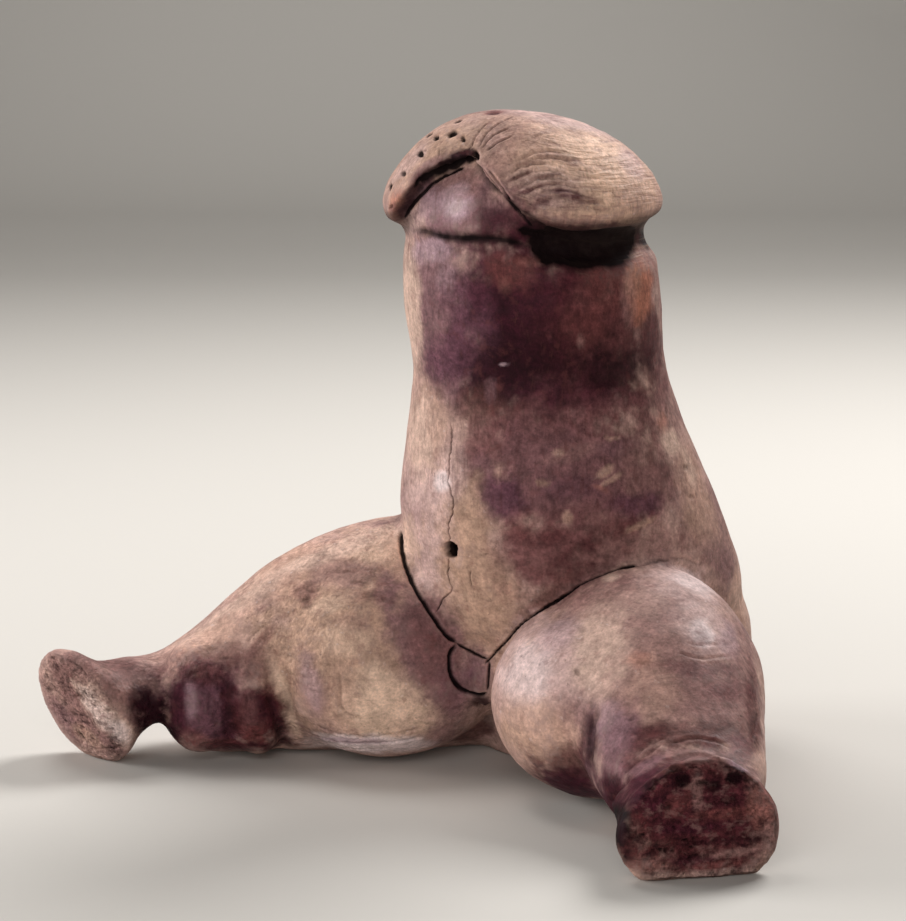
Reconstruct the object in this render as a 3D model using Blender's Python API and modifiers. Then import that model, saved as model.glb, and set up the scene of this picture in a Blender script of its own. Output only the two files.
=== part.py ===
"""Seated figurine of fired clay: a column of a torso under a lobed cap, a low belly and two short legs spread wide.

Metres, +Z up. The figure faces -Y, its left side is +X, and it sits on the plane z = 0 with the origin in the middle
of its footprint. The free form is held as shares of HEIGHT, measured from the column's axis at the hips. Holes and
grooves have sizes of their own.
"""

import math

import bmesh
import bpy
import numpy as np
from mathutils import Matrix, Vector
from mathutils.bvhtree import BVHTree

NAME = "figurine"
HEIGHT = 0.26  # ground to the crown of the cap
FAR = 4 * HEIGHT  # further out than any part of the figure

# Rings of the torso, seat to neck: height, radius, and how far back the ring's centre sits
TORSO = (
    (-0.010, 0.152, 0.122),
    (0.071, 0.174, 0.112),
    (0.132, 0.207, 0.097),
    (0.193, 0.237, 0.092),
    (0.243, 0.258, 0.091),
    (0.274, 0.261, 0.086),
    (0.331, 0.254, 0.070),
    (0.404, 0.241, 0.044),
    (0.478, 0.222, 0.023),
    (0.550, 0.202, 0.004),
    (0.624, 0.190, -0.010),
    (0.697, 0.193, -0.024),
    (0.766, 0.190, -0.032),
    (0.801, 0.188, -0.034),
    (0.847, 0.187, -0.039),
    (0.877, 0.180, -0.043),
    (0.903, 0.162, -0.048),
    (0.925, 0.136, -0.054),
    (0.943, 0.086, -0.057),
)
BELLY = ((0.0, -0.01, 0.274), (0.193, 0.157, 0.142))  # centre, half axes
TAB = ((-0.008, -0.138, 0.158), (0.042, 0.026, 0.053))  # the small tab between the thighs, in the same terms

# Rings of the cap, underside to crown, in the torso's terms
CAP = (
    (0.853, 0.152, -0.043),
    (0.837, 0.185, -0.047),
    (0.839, 0.201, -0.050),
    (0.854, 0.209, -0.052),
    (0.872, 0.208, -0.054),
    (0.899, 0.196, -0.057),
    (0.929, 0.173, -0.061),
    (0.954, 0.145, -0.067),
    (0.976, 0.110, -0.076),
    (0.992, 0.068, -0.086),
    (1.000, 0.022, -0.093),
)
CAP_NOD = math.radians(2.5)  # the cap leans forward
# The opening in the cap's front, as seen from the front: x and height of its corners
CAP_OPENING = (
    (0.022, 0.939),
    (-0.034, 0.923),
    (-0.083, 0.880),
    (-0.120, 0.832),
    (-0.142, 0.771),
    (0.172, 0.771),
    (0.154, 0.834),
    (0.089, 0.884),
)
OPENING_DEPTH = (0.456, 0.071)  # how far ahead of the axis the opening's cut starts and ends

# The channel round the column under the cap. It stops short of the smooth front of the head
CHANNEL = (0.783, 0.827)  # its lowest and highest height
CHANNEL_SLOPES = (0.008, 0.020)  # rise of its lower and upper edge
CHANNEL_GAP = (-1.25, 0.66)  # turns from straight ahead, in radians, between which it is left out
GAP_SLOPES = (0.25, 0.12)  # turns over which it fades at either end
CHANNEL_DEPTH = 0.0045

# The legs, in a frame of their own: distance ahead of the hip, shift outwards, height
LEG_SPREAD = math.radians(45)  # each leg from straight ahead
HIP = (0.12, -0.007)  # where a leg starts, x and y
LEG_TALLNESS = {-1: 1.0, 1: 0.94}  # the left leg was made a little lower than the right
# Rings of a leg: distance, shift, height of centre, half width, half height
LEG = (
    (-0.044, 0.030, 0.157, 0.112, 0.160),
    (0.017, 0.034, 0.174, 0.146, 0.178),
    (0.119, 0.034, 0.178, 0.168, 0.183),
    (0.180, 0.037, 0.173, 0.166, 0.176),
    (0.240, 0.037, 0.164, 0.154, 0.165),
    (0.305, 0.037, 0.148, 0.138, 0.147),
    (0.375, 0.034, 0.121, 0.126, 0.119),
    (0.428, 0.032, 0.103, 0.118, 0.091),
    (0.458, 0.032, 0.116, 0.106, 0.057),
    (0.492, 0.032, 0.114, 0.094, 0.039),
    (0.534, 0.032, 0.104, 0.090, 0.046),
)
THIGH = ((0.142, -0.034, 0.155), (0.190, 0.160, 0.152))  # centre, half axes
# The rolls at calf and knee of the right leg: the left one is smooth
CALF_ROLL = ((0.430, -0.022, 0.106), (0.060, 0.072, 0.092))
KNEE_ROLL = ((0.340, -0.034, 0.114), (0.056, 0.073, 0.104))
# The fold of each knee, pressed into the leg's inner side: side, distance ahead of the hip, height where it ends
FOLDS = ((-1, 0.303, 0.22), (1, 0.300, 0.23))
FOLD_FADE = 0.08  # height over which a fold runs out at its top
FOLD_HALF_WIDTH = 0.0038
FOLD_DEPTH = 0.0026
BUTTOCK = ((0.092, 0.145, 0.164), (0.165, 0.180, 0.178))  # centre and half axes in the figure's own x, y and z

# A foot is a stump that flares to a flat sole: centres of ankle and sole, half axes of the sole up and across,
# turn of the sole inwards, tilt of the sole to the ground, and how much narrower it is at the top
FEET = {
    -1: ((0.497, 0.02, 0.114), (0.619, 0.0, 0.083), (0.105, 0.097), math.radians(34), math.radians(22), 0.0),
    1: ((0.492, 0.008, 0.097), (0.588, 0.019, 0.070), (0.102, 0.119), math.radians(-4), math.radians(2), 0.16),
}
# Rings of a foot: share of the way from the sole to the ankle, shares of the sole's two half axes
FOOT_FLARE = (
    (0.00, 0.84, 0.84),
    (0.03, 0.93, 0.93),
    (0.10, 0.99, 0.99),
    (0.17, 1.00, 1.00),
    (0.25, 0.92, 0.97),
    (0.35, 0.76, 0.92),
    (0.50, 0.59, 0.88),
    (0.75, 0.50, 0.85),
    (1.00, 0.48, 0.84),
)

# Holes and grooves
NAVEL = (-0.038, 0.35)  # x and height of the hole in the belly
NAVEL_DIAMETER = 0.0056
NAVEL_DEPTH = 0.010
BASE_LINE = 0.808  # height of the groove below the smooth front of the head
BASE_LINE_HALF_WIDTH = 0.0022
BASE_LINE_DEPTH = 0.0014
CREASE_HALF_WIDTH = 0.0034  # the groove where the belly, a thigh or the tab meet
CREASE_DEPTH = 0.0030
CREASE_RANGE = (0.10, 0.50)  # heights between which masses meet in a groove
CREASE_FADE = (0.02, 0.22)  # how far behind the axis the groove starts to fade and is gone

# How the clay is worked out
GRAIN = 0.0014  # edge of the clay mesh before it is thinned out
SMOOTHING = 12  # rounds that melt the masses into each other
FACES = 9400  # triangles that the thinned form keeps
RING_POINTS = 40
TORSO_RINGS = 110
LEG_RINGS = 40
DRILL_SIDES = 16
CLAY = (0.42, 0.31, 0.25, 1.0)
CLAY_ROUGHNESS = 0.72


def clear_scene():
    for obj in list(bpy.data.objects):
        bpy.data.objects.remove(obj, do_unlink=True)


def between(stations, places):
    """Values of the stations at the places asked for, on smooth curves that never overshoot them."""
    stations = np.array(stations, float)
    x, y = stations[:, 0], stations[:, 1:]
    gap = np.diff(x)[:, None]
    slope = np.diff(y, axis=0) / gap
    tangent = np.zeros_like(y)
    tangent[0], tangent[-1] = slope[0], slope[-1]
    before, after = slope[:-1], slope[1:]
    same_way = before * after > 0
    total = np.where(same_way, before + after, 1)
    tangent[1:-1] = np.where(same_way, 2 * before * after / total, 0)
    i = np.clip(np.searchsorted(x, places, side="right") - 1, 0, len(x) - 2)
    t = ((np.array(places) - x[i]) / gap[i, 0])[:, None]
    rise = 3 * t**2 - 2 * t**3
    leave = (t**3 - 2 * t**2 + t) * tangent[i] * gap[i]
    arrive = (t**3 - t**2) * tangent[i + 1] * gap[i]
    return ((1 - rise) * y[i] + rise * y[i + 1] + leave + arrive).tolist()


def evenly(stations, count):
    """That many even steps along the stations, each with its values."""
    places = np.linspace(stations[0][0], stations[-1][0], count).tolist()
    return [(place, *values) for place, values in zip(places, between(stations, places))]


def ramp(value, start, end):
    """0 before start, 1 after end, and an even slope between them."""
    return min(1.0, max(0.0, (value - start) / (end - start)))


def as_object(name, mesh, collection=None):
    data = bpy.data.meshes.new(name)
    mesh.to_mesh(data)
    mesh.free()
    obj = bpy.data.objects.new(name, data)
    (collection or bpy.context.scene.collection).objects.link(obj)
    return obj


def ring(centre, first, second, taper=0.0):
    """Points of an ellipse from its centre and two half axes, narrowed towards the end of the first by taper."""
    turns = [2 * math.pi * k / RING_POINTS for k in range(RING_POINTS)]
    return [centre + math.cos(t) * first + math.sin(t) * (1 - taper * math.cos(t)) * second for t in turns]


def loft(name, rings):
    """A closed skin through rings of points."""
    mesh = bmesh.new()
    loops = [[mesh.verts.new(point) for point in points] for points in rings]
    for low, high in zip(loops, loops[1:]):
        for k in range(RING_POINTS):
            following = (k + 1) % RING_POINTS
            mesh.faces.new((low[k], low[following], high[following], high[k]))
    mesh.faces.new(loops[0][::-1])
    mesh.faces.new(loops[-1])
    bmesh.ops.recalc_face_normals(mesh, faces=mesh.faces)
    return as_object(name, mesh)


def ball(name, centre, half_axes):
    """An ellipsoid from its centre and three half axes, as vectors."""
    mesh = bmesh.new()
    bmesh.ops.create_uvsphere(mesh, u_segments=RING_POINTS, v_segments=RING_POINTS // 2, radius=1)
    columns = Matrix(half_axes).transposed().to_4x4()
    mesh.transform(Matrix.Translation(centre) @ columns)
    bmesh.ops.recalc_face_normals(mesh, faces=mesh.faces)
    return as_object(name, mesh)


def upright_ball(name, centre, radii):
    """An ellipsoid in the figure's own x, y and z, as shares of the height."""
    x, y, z = (HEIGHT * value for value in radii)
    return ball(name, HEIGHT * Vector(centre), ((x, 0, 0), (0, y, 0), (0, 0, z)))


def level_ring(height, radius, back):
    centre = HEIGHT * Vector((0, back, height))
    return ring(centre, HEIGHT * radius * Vector((1, 0, 0)), HEIGHT * radius * Vector((0, 1, 0)))


def channel_share(height, turn):
    """How much of the channel's depth there is at a height and a turn from straight ahead."""
    low, high = CHANNEL
    level = ramp(height, low, low + CHANNEL_SLOPES[0]) * (1 - ramp(height, high, high + CHANNEL_SLOPES[1]))
    left, right = CHANNEL_GAP
    inside_gap = ramp(turn, left, left + GAP_SLOPES[0]) * (1 - ramp(turn, right - GAP_SLOPES[1], right))
    return level * (1 - inside_gap)


def torso():
    rings = []
    for height, radius, back in evenly(TORSO, TORSO_RINGS):
        centre = HEIGHT * Vector((0, back, height))
        points = []
        for point in level_ring(height, radius, back):
            turn = math.atan2(point.x - centre.x, centre.y - point.y)
            inwards = (centre - point).normalized()
            points.append(point + CHANNEL_DEPTH * channel_share(height, turn) * inwards)
        rings.append(points)
    return loft("torso", rings)


def cap():
    """The cap as a dome with a rolled rim, open at the front."""
    dome = loft("cap", [level_ring(*values) for values in CAP])
    rim = HEIGHT * Vector((0, CAP[0][2], CAP[0][0]))
    dome.data.transform(Matrix.Translation(rim) @ Matrix.Rotation(CAP_NOD, 4, "X") @ Matrix.Translation(-rim))
    near, far = OPENING_DEPTH
    mesh = bmesh.new()
    corners = [mesh.verts.new(HEIGHT * Vector((x, -near, z))) for x, z in CAP_OPENING]
    made = bmesh.ops.extrude_face_region(mesh, geom=[mesh.faces.new(corners)])
    moved = [v for v in made["geom"] if isinstance(v, bmesh.types.BMVert)]
    bmesh.ops.translate(mesh, verts=moved, vec=HEIGHT * Vector((0, near - far, 0)))
    bmesh.ops.recalc_face_normals(mesh, faces=mesh.faces)
    opening = dome.modifiers.new("opening", "BOOLEAN")
    opening.operation = "DIFFERENCE"
    opening.object = as_object("cap_opening", mesh)
    return dome


def leg_frame(side):
    """The hip on the ground, the way the leg points, and the way out to its side."""
    hip = HEIGHT * Vector((side * HIP[0], HIP[1], 0))
    ahead = Vector((side * math.sin(LEG_SPREAD), -math.cos(LEG_SPREAD), 0))
    outwards = Vector((side * math.cos(LEG_SPREAD), math.sin(LEG_SPREAD), 0))
    return hip, ahead, outwards


def on_leg(side, distance, shift, height):
    hip, ahead, outwards = leg_frame(side)
    return hip + HEIGHT * (distance * ahead + shift * outwards + height * Vector((0, 0, 1)))


def leg(side):
    _, _, outwards = leg_frame(side)
    tallness = LEG_TALLNESS[side]
    rings = []
    for distance, shift, height, wide, tall in evenly(LEG, LEG_RINGS):
        centre = on_leg(side, distance, shift, tallness * height)
        rings.append(ring(centre, HEIGHT * wide * outwards, HEIGHT * tallness * tall * Vector((0, 0, 1))))
    return loft("leg", rings)


def leg_ball(name, side, form):
    """An ellipsoid on a leg."""
    (distance, outward, height), (along, across, tall) = form
    _, ahead, outwards = leg_frame(side)
    tallness = LEG_TALLNESS[side]
    centre = on_leg(side, distance, outward, tallness * height)
    upright = Vector((0, 0, tallness * tall))
    return ball(name, centre, (HEIGHT * along * ahead, HEIGHT * across * outwards, HEIGHT * upright))


def foot(side):
    ankle, sole, (tall, wide), turn_in, tilt, taper = FEET[side]
    _, ahead, _ = leg_frame(side)
    facing = Matrix.Rotation(-side * turn_in, 3, "Z") @ ahead
    toe = math.cos(tilt) * Vector((0, 0, 1)) + math.sin(tilt) * facing
    across = toe.cross(math.cos(tilt) * facing - math.sin(tilt) * Vector((0, 0, 1)))
    rings = []
    for way, up_share, across_share in FOOT_FLARE:
        centre = on_leg(side, *sole).lerp(on_leg(side, *ankle), way)
        rings.append(ring(centre, HEIGHT * up_share * tall * toe, HEIGHT * across_share * wide * across, taper))
    return loft("foot", rings)


def masses():
    """The lumps of clay by kind. Where two kinds meet, a groove is pressed in."""
    limbs = []
    for side in (-1, 1):
        (x, y, z), radii = BUTTOCK
        limbs += [leg(side), foot(side)]
        limbs.append(upright_ball("buttock", (side * x, y, z), radii))
        limbs.append(leg_ball("thigh", side, THIGH))
    limbs += [leg_ball("calf_roll", -1, CALF_ROLL), leg_ball("knee_roll", -1, KNEE_ROLL)]
    trunk = [torso(), upright_ball("belly", *BELLY)]
    return {"trunk": trunk, "head": [cap()], "limbs": limbs, "tab": [upright_ball("tab", *TAB)]}


def baked(objects):
    """One mesh of all the objects as their modifiers leave them."""
    graph = bpy.context.evaluated_depsgraph_get()
    joined = bmesh.new()
    for obj in objects:
        mesh = bpy.data.meshes.new_from_object(obj.evaluated_get(graph))
        joined.from_mesh(mesh)
        bpy.data.meshes.remove(mesh)
    return joined


def outside(tree, point):
    """How far a point lies outside a skin, or 0 inside it."""
    place, normal, _, distance = tree.find_nearest(point)
    return distance if (point - place).dot(normal) > 0 else 0.0


def fused(kinds):
    """All the masses as one skin of even grain, with a groove where the kinds meet."""
    trees = [BVHTree.FromBMesh(baked(objects)) for objects in kinds.values()]
    everything = baked([obj for objects in kinds.values() for obj in objects])
    clear_scene()
    body = as_object("body", everything)
    remesh = body.modifiers.new("fuse", "REMESH")
    remesh.mode = "VOXEL"
    remesh.voxel_size = GRAIN
    smooth = body.modifiers.new("melt", "SMOOTH")
    smooth.factor = 0.5
    smooth.iterations = SMOOTHING
    skin = baked([body])
    clear_scene()
    low, high = CREASE_RANGE
    for vert in skin.verts:
        if not low * HEIGHT < vert.co.z < high * HEIGHT:
            continue
        second_nearest = sorted(outside(tree, vert.co) for tree in trees)[1]
        share = 1 - second_nearest / CREASE_HALF_WIDTH
        if share > 0:
            fade = 1 - ramp(vert.co.y / HEIGHT, *CREASE_FADE)
            vert.co -= CREASE_DEPTH * share * fade * vert.normal
    return skin


def press_base_line(skin):
    """The groove across the front of the head, from the left of the channel round to the right."""
    left, right = CHANNEL_GAP
    for vert in skin.verts:
        off = abs(vert.co.z - BASE_LINE * HEIGHT) / BASE_LINE_HALF_WIDTH
        turn = math.atan2(vert.co.x, -vert.co.y)
        if off < 1 and left + GAP_SLOPES[0] < turn < right:
            vert.co -= BASE_LINE_DEPTH * (1 - off) * vert.normal


def press_folds(skin):
    """The fold of the knee on the inner side of each leg."""
    for side, distance, top in FOLDS:
        hip, ahead, outwards = leg_frame(side)
        for vert in skin.verts:
            place = vert.co - hip
            off = abs(place.dot(ahead) - HEIGHT * distance) / FOLD_HALF_WIDTH
            if off < 1 and side * vert.co.x > 0 and vert.normal.dot(outwards) < 0:
                fade = 1 - ramp(vert.co.z / HEIGHT, top - FOLD_FADE, top)
                facing = min(1.0, -2 * vert.normal.dot(outwards))
                vert.co -= FOLD_DEPTH * (1 - off) * fade * facing * vert.normal


def thinned(skin):
    """The skin with fewer faces, and its shift to the middle of its footprint."""
    bmesh.ops.triangulate(skin, faces=skin.faces)
    count = len(skin.faces)
    thick = as_object("thick", skin)
    thin = thick.modifiers.new("thin", "DECIMATE")
    thin.ratio = FACES / count
    mesh = baked([thick])
    clear_scene()
    xs, ys = [v.co.x for v in mesh.verts], [v.co.y for v in mesh.verts]
    shift = Vector((-(min(xs) + max(xs)) / 2, -(min(ys) + max(ys)) / 2, 0))
    bmesh.ops.translate(mesh, verts=mesh.verts, vec=shift)
    return mesh, shift


def ground():
    """A block below the plane the figure sits on."""
    block = bmesh.new()
    bmesh.ops.create_cube(block, size=2 * FAR)
    bmesh.ops.translate(block, verts=block.verts, vec=(0, 0, -FAR))
    return block


def navel(skin, shift):
    """A drill that enters the belly from the front to the depth of the hole."""
    x, height = NAVEL
    start = shift + Vector((HEIGHT * x, -FAR, HEIGHT * height))
    surface, _, _, _ = BVHTree.FromBMesh(skin).ray_cast(start, Vector((0, 1, 0)))
    drill = bmesh.new()
    radius, length = NAVEL_DIAMETER / 2, HEIGHT
    bmesh.ops.create_cone(
        drill, cap_ends=True, segments=DRILL_SIDES, radius1=radius, radius2=radius, depth=length
    )
    middle = surface + (NAVEL_DEPTH - length / 2) * Vector((0, 1, 0))
    drill.transform(Matrix.Translation(middle) @ Matrix.Rotation(math.radians(90), 4, "X"))
    return drill


def fired_clay():
    clay = bpy.data.materials.new("fired_clay")
    clay.use_nodes = True
    shader = clay.node_tree.nodes["Principled BSDF"]
    shader.inputs["Base Color"].default_value = CLAY
    shader.inputs["Roughness"].default_value = CLAY_ROUGHNESS
    return clay


def new_collection(name):
    collection = bpy.data.collections.new(name)
    bpy.context.scene.collection.children.link(collection)
    return collection


def main():
    clear_scene()
    kinds = masses()
    bpy.context.view_layer.update()
    skin = fused(kinds)
    press_base_line(skin)
    press_folds(skin)
    form, shift = thinned(skin)
    tools = {"ground": ground(), "navel": navel(form, shift)}
    figurine = as_object(NAME, form, new_collection(NAME))
    cutters = new_collection("cutters")
    for name, mesh in tools.items():
        cutter = as_object(name, mesh, cutters)
        cutter.hide_render = True
        cutter.display_type = "WIRE"
        cut = figurine.modifiers.new(name, "BOOLEAN")
        cut.operation = "DIFFERENCE"
        cut.object = cutter
    figurine.data.materials.append(fired_clay())
    figurine.data.shade_smooth()


main()
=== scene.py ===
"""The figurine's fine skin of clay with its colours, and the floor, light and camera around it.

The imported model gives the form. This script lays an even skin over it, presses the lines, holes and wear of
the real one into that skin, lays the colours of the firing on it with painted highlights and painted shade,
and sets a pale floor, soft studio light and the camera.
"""

import math
from collections import namedtuple

import bpy
import numpy as np
from bpy.props import FloatProperty, FloatVectorProperty, IntProperty, PointerProperty
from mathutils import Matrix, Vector, noise
from mathutils.bvhtree import BVHTree
from mathutils.kdtree import KDTree


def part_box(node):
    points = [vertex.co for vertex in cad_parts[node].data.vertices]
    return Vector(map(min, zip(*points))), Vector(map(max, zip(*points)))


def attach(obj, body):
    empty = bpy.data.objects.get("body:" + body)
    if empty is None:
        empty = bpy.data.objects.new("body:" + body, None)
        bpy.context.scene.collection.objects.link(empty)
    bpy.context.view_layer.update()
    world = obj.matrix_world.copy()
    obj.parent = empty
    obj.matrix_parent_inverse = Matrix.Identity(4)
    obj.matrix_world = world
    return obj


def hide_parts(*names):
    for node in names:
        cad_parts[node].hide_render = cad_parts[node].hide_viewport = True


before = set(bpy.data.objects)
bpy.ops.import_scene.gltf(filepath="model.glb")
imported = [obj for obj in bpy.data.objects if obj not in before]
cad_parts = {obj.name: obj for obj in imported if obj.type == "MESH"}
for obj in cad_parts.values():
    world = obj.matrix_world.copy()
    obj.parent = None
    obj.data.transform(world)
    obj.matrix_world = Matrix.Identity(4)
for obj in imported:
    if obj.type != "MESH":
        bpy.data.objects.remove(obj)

bl_info = {
    "name": "Seated clay figurine",
    "version": (1, 0, 0),
    "blender": (4, 5, 0),
    "location": "3D View > Sidebar > Figurine",
    "description": "Gives the packed figurine its fine skin, its colours and a studio",
    "category": "Object",
}

NODE = "figurine"
MM = 0.001

# The view of the photograph: places on it are given in its pixels
PICTURE = (906, 921)
MIDDLE = (PICTURE[0] / 2, PICTURE[1] / 2)
PIXEL = 0.0003996  # metres across one pixel at the depth of the column
SENSOR = 36.0
COLUMN_FOOT = Vector((0.0030, 0.0184, 0.0))  # the column's axis on the ground
COLUMN_FOOT_SEEN = (540, 757)
STEP = 0.8  # pixels between the points of a traced line
WANDER_LENGTH = 5  # pixels over which a line wanders to one side
SEED = 1  # vector noise starts from the clock if it isn't given one, and lines would wander anew each run

View = namedtuple("View", "eye back right up distance")

# The skin: rounds of averaging for the way it is pressed, and how near a mark its faces are halved. They
# are halved once round a mark, again at a sharp one, and a third time at a crack.
NORMAL_ROUNDS = 4
SOLE_REACH = 25 * MM
MARK_REACH = 2.6 * MM
SHARP_REACH = 1.4 * MM
CRACK_REACH = 0.6 * MM
MERGE_DISTANCE = 0.01 * MM
LEAST_WEIGHT = 0.01
SOFTEN = 2  # rounds of smoothing all over, after the skin is made and after its faces are halved
FLOOR_HEIGHTS = (0.5 * MM, 4 * MM)  # below these heights the skin moves less, so that it still sits flat
AT_THE_FLOOR = 0.1  # share by which it still moves on the floor

# What pressing leaves at each vertex: how far it moves outwards, how much earth and painted shade lie
# where it was pressed, and how rough it is
Marks = namedtuple("Marks", "height pressed rough")

# Chance lumps that vary the clay: size in mm, how many finer sets they have, and where in the noise they
# start
Lumps = namedtuple("Lumps", "size octaves start")
LUMPS = {
    "waves": Lumps(26, 3, 0),
    "small waves": Lumps(7, 2, 9),
    "pressure": Lumps(6, 2, 3),
    "edge of a hole": Lumps(3, 2, 11),
    "broken clay": Lumps(16, 4, 5),
    "pits": Lumps(7, 4, 7),
    "edge of a patch": Lumps(9, 4, 21),
    "fine edge of a patch": Lumps(2.6, 2, 33),
    "drift along": Lumps(22, 2, 41),
    "drift across": Lumps(22, 2, 55),
    "tints": Lumps(30, 3, 60),
}
FALL = 0.8  # how fast the finer sets lose strength
FINER = 2.1  # how many times finer each set is than the one before
SMALL_WAVES = 0.25  # share of the small waves beside the large ones

# Kinds of line in the clay: half width and depth in mm, banks pushed up beside it as a share of the depth,
# how far it wanders from side to side in pixels, and how much earth and painted shade it holds, where above 1
# they reach over the banks. A negative depth is a ridge.
Kind = namedtuple("Kind", "half_width depth banks wander earth")
KINDS = {
    "crack": Kind(0.3, 1.0, 0, 1.7, 0.85),
    "seam": Kind(0.8, 2.2, 0, 0.6, 1.4),
    "fine seam": Kind(0.5, 1.3, 0.1, 0.5, 1.2),
    "soft groove": Kind(1.9, 0.9, 0.1, 0.8, 0.78),
    "crevice": Kind(1.5, 1.8, 0, 1.2, 1.3),
    # the undercut is filled with painted shadow
    "undercut": Kind(5.6, 2.4, 0, 0.8, 3.2),
    "scored": Kind(0.4, 0.6, 0.3, 0.7, 0.6),
    "ridge": Kind(0.5, -0.5, 0, 0.6, 0),
    "rim": Kind(1.3, -0.7, 0, 1.0, 0),
    "crease": Kind(2.6, 1.6, 0, 1.0, 0.35),
    "wiped": Kind(0.6, 0.35, 0.6, 1.4, 0.2),
    "dent": Kind(0.7, 0.5, 0.4, 1.4, 0.3),
}

SHARP = ("crack", "seam", "fine seam", "scored", "crevice")  # kinds that need the finest faces

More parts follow.
